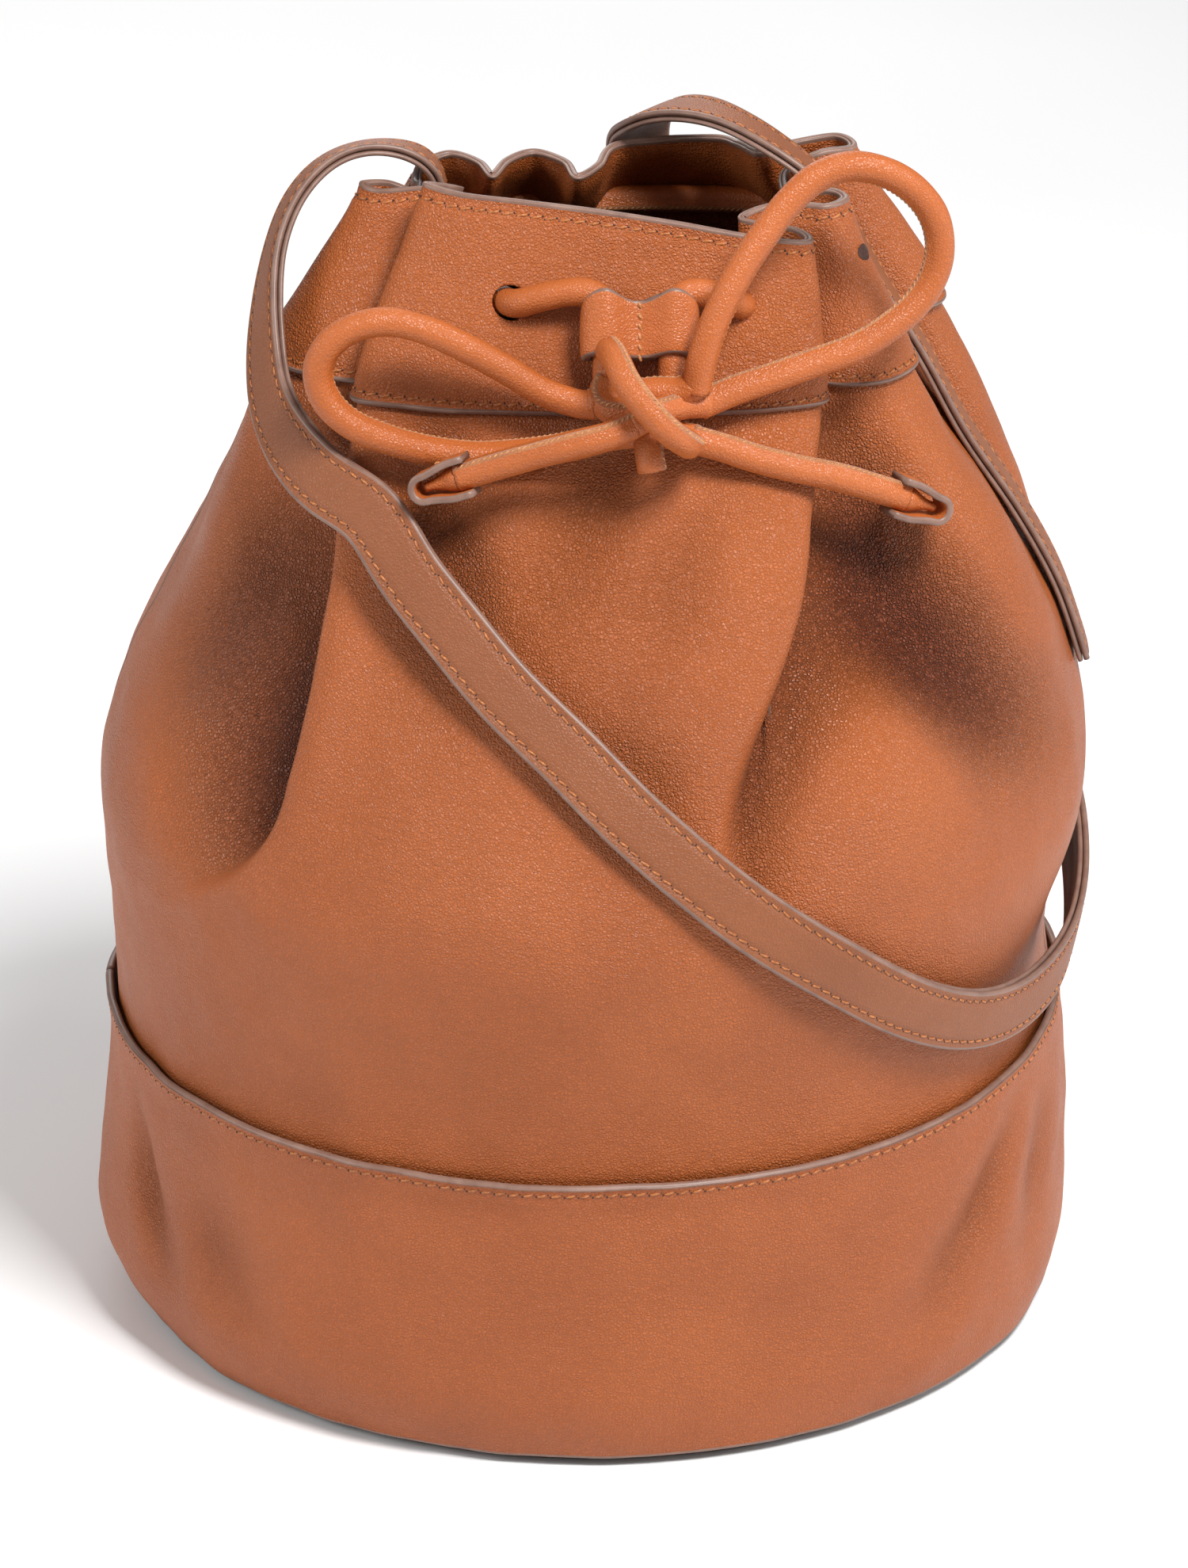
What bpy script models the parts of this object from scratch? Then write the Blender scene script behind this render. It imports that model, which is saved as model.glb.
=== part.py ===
"""A leather drawstring bucket bag, tied in a bow and wrapped in its own shoulder strap.

Metres, +Z up. The origin is the centre of the bottom face, -Y is the front and +X is the bag's
left when it is carried. Angles run round the bag from +X towards the back, in degrees.
"""

import math

import bmesh
import bpy
from mathutils import Vector

# Overall sizes of the bag's outer skin.
RIM_HEIGHT = 0.300
SEAM_HEIGHT = 0.2540
BAND_HEIGHT = 0.080
BELLY_HEIGHT = 0.138
FOLD_START = 0.152
BASE_HALF_WIDTH = 0.1130
BASE_HALF_DEPTH = 0.1045
BULGE_HALF_WIDTH = 0.1205
BULGE_HALF_DEPTH = 0.1095
BULGE_SHIFT = -0.0032
WAIST_HALF_WIDTH = 0.1180
WAIST_HALF_DEPTH = 0.1095
BELLY_HALF_WIDTH = 0.1210
BELLY_HALF_DEPTH = 0.1165
SHOULDER_SHIFT = 0.0035
SEAM_HALF_WIDTH = 0.082
SEAM_HALF_DEPTH = 0.0585
MOUTH_HALF_WIDTH = 0.059
MOUTH_HALF_DEPTH = 0.036

# The strap draws the leather in at the right side: angle, height, depth and spreads of the dent.
DENT_ANGLE = -14
DENT_HEIGHT = 0.099
DENT_DEPTH = 0.0075
DENT_SPREAD_ANGLE = 30
DENT_SPREAD_HEIGHT = 0.024

# Leather, joints between pieces, and trim.
LEATHER = 0.0014
FACING = 0.0010
GAP = 0.0003
LAP = 0.011
BASE_PANEL = 0.0024
BASE_BOARD = 0.0016
BASE_LINING = 0.0010
STRAP_WIDTH = 0.0155
STRAP_OUTER = 0.0018
STRAP_LINING = 0.0014
STRAP_EASE = 0.0005
CORD_DIAMETER = 0.0066
EYELET_DIAMETER = 0.0082
SLIDER_LENGTH = 0.0135
SLIDER_THICKNESS = 0.0100
SLIDER_PITCH = 0.0150
TIP_LENGTH = 0.0130
TIP_WIDTH = 0.0100
TIP_THICKNESS = 0.0088
KNOT_HALF = (0.0100, 0.0068, 0.0060)

# Pleats. Each row is a line of leather that runs up from the belly: its angle there, its place at
# the rim, how far the rim dips there, and its place at the collar's seam.
PLEATS = (
    (-180, (-0.0400, -0.0010), 0.011, (-0.0715, 0.0010)),
    (-173, (-0.0410, -0.0100), 0.010, (-0.0725, -0.0095)),
    (-166, (-0.0480, -0.0110), 0.007, (-0.0755, -0.0160)),
    (-158, (-0.0535, -0.0140), 0.006, (-0.0755, -0.0235)),
    (-150, (-0.0500, -0.0185), 0.006, (-0.0700, -0.0310)),
    (-142, (-0.0400, -0.0195), 0.005, (-0.0620, -0.0360)),
    (-135, (-0.0315, -0.0225), 0.004, (-0.0520, -0.0400)),
    (-131, (-0.0335, -0.0265), 0.002, (-0.0550, -0.0455)),
    (-127, (-0.0385, -0.0305), 0.000, (-0.0535, -0.0510)),
    (-120, (-0.0305, -0.0345), 0.001, (-0.0430, -0.0545)),
    (-110, (-0.0170, -0.0365), 0.002, (-0.0260, -0.0575)),
    (-99, (0.0000, -0.0385), 0.0035, (-0.0060, -0.0590)),
    (-89, (0.0180, -0.0410), 0.0055, (0.0150, -0.0595)),
    (-81, (0.0360, -0.0435), 0.008, (0.0350, -0.0580)),
    (-76, (0.0485, -0.0430), 0.0095, (0.0505, -0.0530)),
    (-73, (0.0465, -0.0365), 0.009, (0.0520, -0.0460)),
    (-69, (0.0340, -0.0325), 0.008, (0.0440, -0.0410)),
    (-62, (0.0395, -0.0265), 0.007, (0.0520, -0.0385)),
    (-46, (0.0480, -0.0275), 0.006, (0.0600, -0.0400)),
    (-29, (0.0540, -0.0285), 0.006, (0.0680, -0.0380)),
    (-16, (0.0575, -0.0240), 0.006, (0.0735, -0.0300)),
    (-11, (0.0540, -0.0190), 0.006, (0.0735, -0.0230)),
    (-6, (0.0450, -0.0155), 0.009, (0.0710, -0.0165)),
    (0, (0.0445, -0.0050), 0.011, (0.0708, -0.0060)),
    (6, (0.0450, 0.0055), 0.010, (0.0710, 0.0045)),
    (12, (0.0535, 0.0080), 0.006, (0.0790, 0.0090)),
    (20, (0.0605, 0.0115), 0.006, (0.0830, 0.0165)),
    (31, (0.0570, 0.0180), 0.006, (0.0775, 0.0290)),
    (41, (0.0470, 0.0160), 0.007, (0.0660, 0.0355)),
    (49, (0.0390, 0.0080), 0.007, (0.0540, 0.0370)),
    (57, (0.0340, 0.0150), 0.007, (0.0460, 0.0440)),
    (67, (0.0290, 0.0220), 0.008, (0.0350, 0.0490)),
    (79, (0.0160, 0.0240), 0.009, (0.0180, 0.0510)),
    (90, (0.0055, 0.0190), 0.009, (0.0030, 0.0490)),
    (98, (0.0015, 0.0060), 0.009, (-0.0040, 0.0430)),
    (104, (-0.0040, -0.0020), 0.009, (-0.0090, 0.0400)),
    (110, (-0.0075, 0.0080), 0.009, (-0.0140, 0.0440)),
    (117, (-0.0140, 0.0150), 0.009, (-0.0210, 0.0480)),
    (124, (-0.0205, 0.0090), 0.009, (-0.0290, 0.0440)),
    (130, (-0.0240, -0.0010), 0.009, (-0.0350, 0.0380)),
    (136, (-0.0275, 0.0080), 0.009, (-0.0410, 0.0400)),
    (144, (-0.0340, 0.0140), 0.009, (-0.0510, 0.0400)),
    (154, (-0.0405, 0.0095), 0.010, (-0.0610, 0.0310)),
    (168, (-0.0415, 0.0040), 0.012, (-0.0690, 0.0130)),
)

# Levels of each ring of leather between its laps, and points round a disc.
BODY_LEVELS = 8
COLLAR_LEVELS = 2
BAND_LEVELS = 4
DISC_POINTS = 48

# The slider and the cord that runs through it, round the neck and into the bow.
SLIDER_CENTRE = Vector((0.0105, -0.0602, 0.2745))
SLIDER_AXIS = Vector((0.0, -0.353, -0.9356)).normalized()
KNOT_CENTRE = Vector((0.0125, -0.0680, 0.2580))
NECK_CORD = (
    (0.0030, -0.0642, 0.2640), (0.0030, -0.0629, 0.2673), (0.0030, -0.0616, 0.2709),
    (0.0030, -0.0602, 0.2745), (0.0030, -0.0588, 0.2781), (0.0029, -0.0574, 0.2818),
    (0.0010, -0.0558, 0.2855), (-0.0045, -0.0545, 0.2862), (-0.0120, -0.0540, 0.2820),
    (-0.0180, -0.0500, 0.2775), (-0.0215, -0.0420, 0.2755), (-0.0260, -0.0330, 0.2745),
    (-0.0335, -0.0235, 0.2745), (-0.0440, -0.0140, 0.2745), (-0.0480, -0.0020, 0.2745),
    (-0.0465, 0.0110, 0.2745), (-0.0420, 0.0210, 0.2740), (-0.0340, 0.0255, 0.2735),
    (-0.0240, 0.0265, 0.2735), (-0.0130, 0.0275, 0.2735), (-0.0020, 0.0290, 0.2735),
    (0.0100, 0.0300, 0.2735), (0.0220, 0.0300, 0.2735), (0.0340, 0.0290, 0.2735),
    (0.0450, 0.0260, 0.2735), (0.0530, 0.0200, 0.2740), (0.0535, 0.0100, 0.2745),
    (0.0490, -0.0010, 0.2745), (0.0480, -0.0120, 0.2745), (0.0440, -0.0220, 0.2745),
    (0.0340, -0.0300, 0.2745), (0.0330, -0.0400, 0.2750), (0.0340, -0.0500, 0.2770),
    (0.0300, -0.0555, 0.2825), (0.0245, -0.0562, 0.2865), (0.0198, -0.0560, 0.2855),
    (0.0181, -0.0574, 0.2818), (0.0180, -0.0588, 0.2781), (0.0180, -0.0602, 0.2745),
    (0.0180, -0.0616, 0.2709), (0.0180, -0.0629, 0.2673), (0.0180, -0.0642, 0.2640),
)
LOOP_LEFT = (
    (0.0010, -0.0690, 0.2600), (-0.0045, -0.0675, 0.2600), (-0.0120, -0.0665, 0.2625),
    (-0.0200, -0.0660, 0.2675), (-0.0290, -0.0655, 0.2725), (-0.0380, -0.0645, 0.2765),
    (-0.0470, -0.0640, 0.2785), (-0.0550, -0.0640, 0.2770), (-0.0610, -0.0640, 0.2725),
    (-0.0635, -0.0640, 0.2660), (-0.0615, -0.0645, 0.2590), (-0.0560, -0.0650, 0.2535),
    (-0.0480, -0.0655, 0.2500), (-0.0380, -0.0665, 0.2475), (-0.0270, -0.0675, 0.2465),
    (-0.0170, -0.0685, 0.2475), (-0.0080, -0.0690, 0.2490), (0.0010, -0.0695, 0.2515),
)
LOOP_RIGHT = (
    (0.0230, -0.0705, 0.2640), (0.0242, -0.0705, 0.2705), (0.0265, -0.0695, 0.2785),
    (0.0300, -0.0670, 0.2860), (0.0340, -0.0640, 0.2925), (0.0385, -0.0610, 0.2985),
    (0.0435, -0.0580, 0.3045), (0.0500, -0.0555, 0.3100), (0.0575, -0.0540, 0.3125),
    (0.0655, -0.0525, 0.3110), (0.0725, -0.0510, 0.3065), (0.0775, -0.0500, 0.3000),
    (0.0795, -0.0495, 0.2925), (0.0785, -0.0500, 0.2850), (0.0745, -0.0520, 0.2785),
    (0.0680, -0.0550, 0.2735), (0.0600, -0.0580, 0.2695), (0.0510, -0.0605, 0.2670),
    (0.0410, -0.0635, 0.2645), (0.0320, -0.0655, 0.2620), (0.0240, -0.0675, 0.2590),
)
TAIL_LEFT = (
    (0.0090, -0.0785, 0.2590), (0.0030, -0.0805, 0.2570), (-0.0050, -0.0805, 0.2548),
    (-0.0130, -0.0797, 0.2522), (-0.0220, -0.0785, 0.2490), (-0.0310, -0.0772, 0.2455),
)
TAIL_RIGHT = (
    (0.0222, -0.0700, 0.2520), (0.0290, -0.0700, 0.2500), (0.0370, -0.0695, 0.2470),
    (0.0460, -0.0682, 0.2440), (0.0550, -0.0655, 0.2410), (0.0640, -0.0625, 0.2370),
    (0.0720, -0.0595, 0.2330),
)

# The strap's path as (angle round the bag, height, stand-off) where it lies on the leather.
STRAP_SEWN_INSIDE_LEFT = ((180, 0.170), (180, 0.190), (180, 0.210), (180, 0.228))
STRAP_SEWN_RIGHT = ((0, 0.168), (0, 0.188), (0, 0.208), (0, 0.228), (0, 0.2475), (0, 0.268))
STRAP_LEFT_ARCH = (
    # Each row is a point and the way the strap's outer face looks there.
    ((-0.0640, 0.0010, 0.2460), (0.75, 0.00, 0.65)),
    ((-0.0500, 0.0010, 0.2570), (0.75, 0.00, 0.65)),
    ((-0.0405, 0.0010, 0.2660), (0.90, 0.00, 0.45)),
    ((-0.0370, 0.0010, 0.2760), (0.98, 0.00, 0.10)),
    ((-0.0360, -0.0005, 0.2870), (0.95, 0.00, 0.25)),
    ((-0.0390, -0.0015, 0.2948), (0.60, 0.12, 0.79)),
    ((-0.0465, -0.0022, 0.2982), (0.20, 0.24, 0.95)),
    ((-0.0555, -0.0035, 0.2985), (-0.10, 0.28, 0.95)),
    ((-0.0640, -0.0065, 0.2955), (-0.42, 0.22, 0.88)),
    ((-0.0710, -0.0120, 0.2885), (-0.75, 0.08, 0.65)),
    ((-0.0752, -0.0190, 0.2785), (-0.92, -0.08, 0.38)),
    ((-0.0768, -0.0270, 0.2680), (-0.92, -0.34, 0.20)),
    ((-0.0768, -0.0350, 0.2580), (-0.84, -0.52, 0.18)),
    ((-0.0752, -0.0440, 0.2505), (-0.74, -0.65, 0.18)),
    ((-0.0705, -0.0545, 0.2445), (-0.60, -0.76, 0.26)),
    ((-0.0625, -0.0645, 0.2390), (-0.42, -0.82, 0.38)),
)
STRAP_FRONT = (
    (-121, 0.2310, 0.0078), (-116, 0.2205, 0.0062), (-111, 0.2110, 0.0046),
    (-104, 0.1985, 0.0037), (-96, 0.1865, 0.0034), (-88, 0.1735, 0.0034),
    (-80, 0.1610, 0.0034), (-72, 0.1480, 0.0034), (-63, 0.1340, 0.0036),
    (-53, 0.1185, 0.0040), (-43, 0.1075, 0.0050), (-33, 0.1020, 0.0065),
    (-22, 0.1010, 0.0080), (-11, 0.1035, 0.0080), (1, 0.1080, 0.0060),
    (13, 0.1150, 0.0045), (25, 0.1255, 0.0036), (37, 0.1390, 0.0034),
    (48, 0.1550, 0.0036), (58, 0.1725, 0.0042), (66, 0.1920, 0.0050),
    (73, 0.2130, 0.0060), (79, 0.2330, 0.0072), (84, 0.2510, 0.0095),
    (87, 0.2650, 0.0110),
)
STRAP_RIGHT_ARCH = (
    ((0.0105, 0.0380, 0.2780), (-0.05, 0.93, 0.35)),
    ((0.0105, 0.0325, 0.2900), (-0.35, 0.78, 0.52)),
    ((0.0145, 0.0215, 0.2985), (-0.45, 0.38, 0.80)),
    ((0.0225, 0.0135, 0.3025), (-0.12, 0.12, 1.00)),
    ((0.0325, 0.0050, 0.3025), (0.25, 0.08, 0.97)),
    ((0.0425, -0.0020, 0.2990), (0.55, 0.00, 0.84)),
    ((0.0525, -0.0050, 0.2920), (0.85, 0.00, 0.53)),
    ((0.0600, -0.0055, 0.2805), (0.90, 0.00, 0.43)),
)
STRAP_STATIONS = 96
CORD_STEP = 1.1


def smooth(t):
    """0 below 0, 1 above 1 and a smooth step between."""
    t = min(1.0, max(0.0, t))
    return t * t * (3 - 2 * t)


def mix(a, b, t):
    return a + (b - a) * t


def curve_through(rows, count, closed=False):
    """count points on a Catmull-Rom curve through the rows, each a tuple of numbers."""
    last = len(rows) if closed else len(rows) - 1
    points = []
    for i in range(count):
        at = i * last / (count if closed else count - 1)
        k = min(int(at), last - 1)
        t = at - k
        if closed:
            four = [rows[(k + j) % len(rows)] for j in (-1, 0, 1, 2)]
        else:
            four = [rows[min(max(k + j, 0), len(rows) - 1)] for j in (-1, 0, 1, 2)]
        points.append(tuple(
            0.5 * (2 * b + (c - a) * t + (2 * a - 5 * b + 4 * c - d) * t * t
                   + (3 * b - a - 3 * c + d) * t * t * t)
            for a, b, c, d in zip(*four)))
    return points


def pleat_at(angle):
    """The pleat table read at an angle: (place at the rim, dip, place at the seam)."""
    angle = (angle + 180) % 360 - 180
    angles = [row[0] for row in PLEATS]
    k = max(i for i, a in enumerate(angles) if a <= angle)
    count = len(PLEATS)
    end = angles[k + 1] if k + 1 < count else 180
    t = (angle - angles[k]) / (end - angles[k])
    four = [PLEATS[(k + j) % count] for j in (-1, 0, 1, 2)]

    def read(pick):
        a, b, c, d = (pick(row) for row in four)
        return 0.5 * (2 * b + (c - a) * t + (2 * a - 5 * b + 4 * c - d) * t * t
                      + (3 * b - a - 3 * c + d) * t * t * t)

    rim = Vector((read(lambda r: r[1][0]), read(lambda r: r[1][1])))
    seam = Vector((read(lambda r: r[3][0]), read(lambda r: r[3][1])))
    return rim, read(lambda r: r[2]), seam


def section(z):
    """Half width, half depth and sideways shift of the unpleated section at a height."""
    if z >= SEAM_HEIGHT:
        t = (z - SEAM_HEIGHT) / (RIM_HEIGHT - SEAM_HEIGHT)
        return (mix(SEAM_HALF_WIDTH, MOUTH_HALF_WIDTH, t),
                mix(SEAM_HALF_DEPTH, MOUTH_HALF_DEPTH, t), 0.0)
    if z >= BELLY_HEIGHT:
        rise = (z - BELLY_HEIGHT) / (SEAM_HEIGHT - BELLY_HEIGHT)
        t = rise ** 1.5
        return (mix(BELLY_HALF_WIDTH, SEAM_HALF_WIDTH, t),
                mix(BELLY_HALF_DEPTH, SEAM_HALF_DEPTH, t),
                SHOULDER_SHIFT * math.sin(math.pi * min(1.0, rise)) ** 2)
    rows = (
        (0.0, BASE_HALF_WIDTH, BASE_HALF_DEPTH, 0.0),
        (0.28 * BAND_HEIGHT, BULGE_HALF_WIDTH, BULGE_HALF_DEPTH, BULGE_SHIFT),
        (0.85 * BAND_HEIGHT, WAIST_HALF_WIDTH, WAIST_HALF_DEPTH, 0.3 * BULGE_SHIFT),
        (BELLY_HEIGHT, BELLY_HALF_WIDTH, BELLY_HALF_DEPTH, 0.0),
    )
    k = max(i for i in range(len(rows) - 1) if rows[i][0] <= z)
    t = smooth((z - rows[k][0]) / (rows[k + 1][0] - rows[k][0]))
    if k == 0:
        t = math.sin(math.pi / 2 * (z - rows[0][0]) / rows[1][0])
    return tuple(mix(a, b, t) for a, b in zip(rows[k][1:], rows[k + 1][1:]))


def skin(angle, z):
    """A point on the body's outer skin."""
    turn = math.radians(angle)
    half_width, half_depth, shift = section(z)
    drawn_in = DENT_DEPTH * math.exp(-((angle - DENT_ANGLE) / DENT_SPREAD_ANGLE) ** 2
                                     - ((z - DENT_HEIGHT) / DENT_SPREAD_HEIGHT) ** 2)
    x = (half_width - drawn_in) * math.cos(turn) + shift
    y = (half_depth - drawn_in) * math.sin(turn)
    growth = smooth((z - FOLD_START) / (SEAM_HEIGHT - FOLD_START))
    if growth <= 0:
        return Vector((x, y, z))
    rim, dip, seam = pleat_at(angle)
    rise = max(0.0, (z - SEAM_HEIGHT) / (RIM_HEIGHT - SEAM_HEIGHT))
    place = seam.lerp(rim, mix(rise, smooth(rise), 0.5))
    base = Vector((x, y))
    reference_width, reference_depth, _ = section(max(z, SEAM_HEIGHT))
    reference = Vector((reference_width * math.cos(turn), reference_depth * math.sin(turn)))
    flat = base + (place - reference) * growth
    lower = dip * rise
    return Vector((flat.x, flat.y, z - lower))


def normal_at(angle, z):
    """The way out of the leather, level with the ground."""
    along = skin(angle + 0.5, z) - skin(angle - 0.5, z)
    return Vector((along.y, -along.x, 0)).normalized()


def off_skin(angle, z, offset):
    """A point at a stand-off from the skin, mitred to the flat facets on both sides of it."""
    lines = ring_angles(-180, 180)
    here = skin(angle, z)
    before = skin(max((a for a in lines if a < angle - 0.8), default=lines[-2]), z)
    after = skin(min((a for a in lines if a > angle + 0.8), default=lines[1]), z)
    sides = []
    for a, b in ((before, here), (here, after)):
        sides.append(Vector((b.y - a.y, a.x - b.x, 0)).normalized())
    out = (sides[0] + sides[1]).normalized()
    return here + out * offset / max(0.55, out.dot(sides[0]))


def steps(start, end, count):
    """count even steps from start, without the end itself."""
    return [mix(start, end, i / count) for i in range(count)]


def ring_angles(start, end):
    """Every pleat line's angle and the angle midway to the next, from start to end."""
    lines = [row[0] for row in PLEATS] + [180]
    between = [(a + b) / 2 for a, b in zip(lines, lines[1:])]
    inside = [a for a in sorted(lines + between) if start + 1 < a < end - 1]
    return [start] + inside + [end]


def clear():
    for obj in list(bpy.data.objects):
        bpy.data.objects.remove(obj, do_unlink=True)


def material(name, colour, roughness):
    made = bpy.data.materials.new(name)
    made.use_nodes = True
    shader = made.node_tree.nodes["Principled BSDF"]
    shader.inputs["Base Color"].default_value = (*colour, 1)
    shader.inputs["Roughness"].default_value = roughness
    shader.inputs["Metallic"].default_value = 0
    return made


def node(name, mesh, look):
    obj = bpy.data.objects.new(name, mesh)
    bpy.context.collection.objects.link(obj)
    mesh.materials.append(look)
    mesh.shade_smooth()
    mesh.set_sharp_from_angle(angle=math.radians(40))
    return obj


def mesh_from(name, points, faces):
    """A mesh from points and faces, with its normals turned outwards."""
    mesh = bpy.data.meshes.new(name)
    mesh.from_pydata([tuple(point) for point in points], [], faces)
    work = bmesh.new()
    work.from_mesh(mesh)
    bmesh.ops.recalc_face_normals(work, faces=work.faces)
    work.to_mesh(mesh)
    work.free()
    return mesh


def wall(name, look, start, end, levels, outer, inner):
    """A sheet of leather between two angles. outer and inner give its stand-off at a height."""
    angles = ring_angles(start, end)
    columns = len(angles)
    points = []
    for offset in (outer, inner):
        for z in levels:
            for angle in angles:
                points.append(off_skin(angle, z, offset(z)))
    rows = len(levels)
    back = rows * columns
    faces = []
    for r in range(rows - 1):
        for c in range(columns - 1):
            a = r * columns + c
            for side in (a, back + a):
                faces.append((side, side + 1, side + columns + 1))
                faces.append((side, side + columns + 1, side + columns))
        for c in (0, columns - 1):
            a = r * columns + c
            faces.append((a, a + columns, back + a + columns, back + a))
    for c in range(columns - 1):
        for r in (0, rows - 1):
            a = r * columns + c
            faces.append((a, a + 1, back + a + 1, back + a))
    return node(name, mesh_from(name, points, faces), look)


def halves(name, look, levels, outer, inner):
    """The front and back pieces of one layer, which meet at the side seams."""
    gap_angle = math.degrees(GAP / 2 / MOUTH_HALF_DEPTH)
    return (wall(name + "_front", look, -180 + gap_angle, -gap_angle, levels, outer, inner),
            wall(name + "_back", look, gap_angle, 180 - gap_angle, levels, outer, inner))


def disc(name, look, half_width, half_depth, bottom, thickness):
    ring = [(half_width * math.cos(2 * math.pi * i / DISC_POINTS),
             half_depth * math.sin(2 * math.pi * i / DISC_POINTS)) for i in range(DISC_POINTS)]
    points = [(x, y, bottom) for x, y in ring] + [(x, y, bottom + thickness) for x, y in ring]
    faces = [tuple(range(DISC_POINTS)), tuple(range(DISC_POINTS, 2 * DISC_POINTS))]
    for i in range(DISC_POINTS):
        j = (i + 1) % DISC_POINTS
        faces.append((i, j, DISC_POINTS + j, DISC_POINTS + i))
    return node(name, mesh_from(name, points, faces), look)


def cord(name, look, route, diameter):
    """A round cord along a smooth curve through the route's points."""
    length = sum((Vector(a) - Vector(b)).length for a, b in zip(route, route[1:]))
    count = min(80, round(length / (diameter * CORD_STEP)) + 1)
    data = bpy.data.curves.new(name, "CURVE")
    data.dimensions = "3D"
    data.bevel_depth = diameter / 2
    data.bevel_resolution = 2
    data.use_fill_caps = True
    line = data.splines.new("POLY")
    line.points.add(count - 1)
    for point, place in zip(line.points, curve_through(route, count)):
        point.co = (*place, 1)
    data.materials.append(look)
    obj = bpy.data.objects.new(name, data)
    bpy.context.collection.objects.link(obj)
    return obj


def tube_cutter(name, route, radius, sides=12):
    """A closed mesh tube along a route, for cutting."""
    path = [Vector(p) for p in route]
    points = []
    side = Vector((0, 0, 1))
    for i, centre in enumerate(path):
        along = (path[min(i + 1, len(path) - 1)] - path[max(i - 1, 0)]).normalized()
        side = (side - along * side.dot(along)).normalized()
        across = along.cross(side)
        for k in range(sides):
            turn = 2 * math.pi * k / sides
            points.append(centre + (side * math.cos(turn) + across * math.sin(turn)) * radius)
    faces = [tuple(range(sides)), tuple(range(len(points) - sides, len(points)))]
    for i in range(len(path) - 1):
        for k in range(sides):
            a = i * sides + k
            b = i * sides + (k + 1) % sides
            faces.append((a, b, b + sides, a + sides))
    return cutter(name, mesh_from(name, points, faces))


def cutter(name, mesh):
    obj = bpy.data.objects.new(name, mesh)
    bpy.context.collection.objects.link(obj)
    obj.hide_render = True
    obj.display_type = "WIRE"
    return obj


def cut(obj, tool):
    modifier = obj.modifiers.new(tool.name, "BOOLEAN")
    modifier.operation = "DIFFERENCE"
    modifier.object = tool


def strap_path():
    """(point, outward face direction) along the whole strap, from the left end to the right."""
    rows = []

    def on_leather(angle, z, lift, way):
        out = normal_at(angle, z)
        higher = skin(angle, z + 0.004) - skin(angle, z - 0.004)
        around = Vector((-out.y, out.x, 0))
        face = around.cross(higher.normalized()).normalized()
        if face.dot(out) < 0:
            face = -face
        rows.append((skin(angle, z) + face * lift, face * way))

    half = (STRAP_OUTER + STRAP_LINING) / 2
    for angle, z in STRAP_SEWN_INSIDE_LEFT:
        on_leather(angle, z, -(LEATHER + GAP + half + STRAP_EASE), -1)
    rows.extend((Vector(p), Vector(n).normalized()) for p, n in STRAP_LEFT_ARCH)
    for angle, z, lift in STRAP_FRONT:
        on_leather(angle, z, lift, 1)
    rows.extend((Vector(p), Vector(n).normalized()) for p, n in STRAP_RIGHT_ARCH)
    for angle, z in reversed(STRAP_SEWN_RIGHT):
        over_collar = (LEATHER + GAP) * smooth((z - SEAM_HEIGHT + 0.016) / 0.008)
        on_leather(angle, z, GAP + half + STRAP_EASE + over_collar, 1)
    flat = curve_through([(*p, *n) for p, n in rows], 8 * len(rows))
    path = [(Vector(row[:3]), Vector(row[3:]).normalized()) for row in flat]
    return evenly(path, STRAP_STATIONS)


def evenly(path, count):
    """The path read at count places, the same distance apart."""
    marks = [0.0]
    for a, b in zip(path, path[1:]):
        marks.append(marks[-1] + (b[0] - a[0]).length)
    rows = []
    k = 0
    for i in range(count):
        target = marks[-1] * i / (count - 1)
        while k < len(path) - 2 and marks[k + 1] < target:
            k += 1
        t = (target - marks[k]) / (marks[k + 1] - marks[k])
        rows.append((path[k][0].lerp(path[k + 1][0], t), path[k][1].lerp(path[k + 1][1], t)))
    return rows


def ribbon(name, look, path, width, low, high):
    """A flat strip along a path, between two heights over the path's own surface."""
    points = []
    for i, (centre, face) in enumerate(path):
        along = (path[min(i + 1, len(path) - 1)][0] - path[max(i - 1, 0)][0]).normalized()
        face = (face - along * face.dot(along)).normalized()
        across = along.cross(face)
        for side, height in ((-1, low), (1, low), (1, high), (-1, high)):
            points.append(centre + across * side * width / 2 + face * height)
    faces = [(0, 1, 2, 3), tuple(range(len(points) - 4, len(points)))]
    for i in range(0, len(points) - 4, 4):
        faces += [(i, i + 1, i + 4), (i + 1, i + 5, i + 4)]
        faces += [(i + 3, i + 2, i + 7), (i + 2, i + 6, i + 7)]
        faces += [(i + 1, i + 2, i + 6, i + 5), (i, i + 4, i + 7, i + 3)]
    return node(name, mesh_from(name, points, faces), look)


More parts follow.
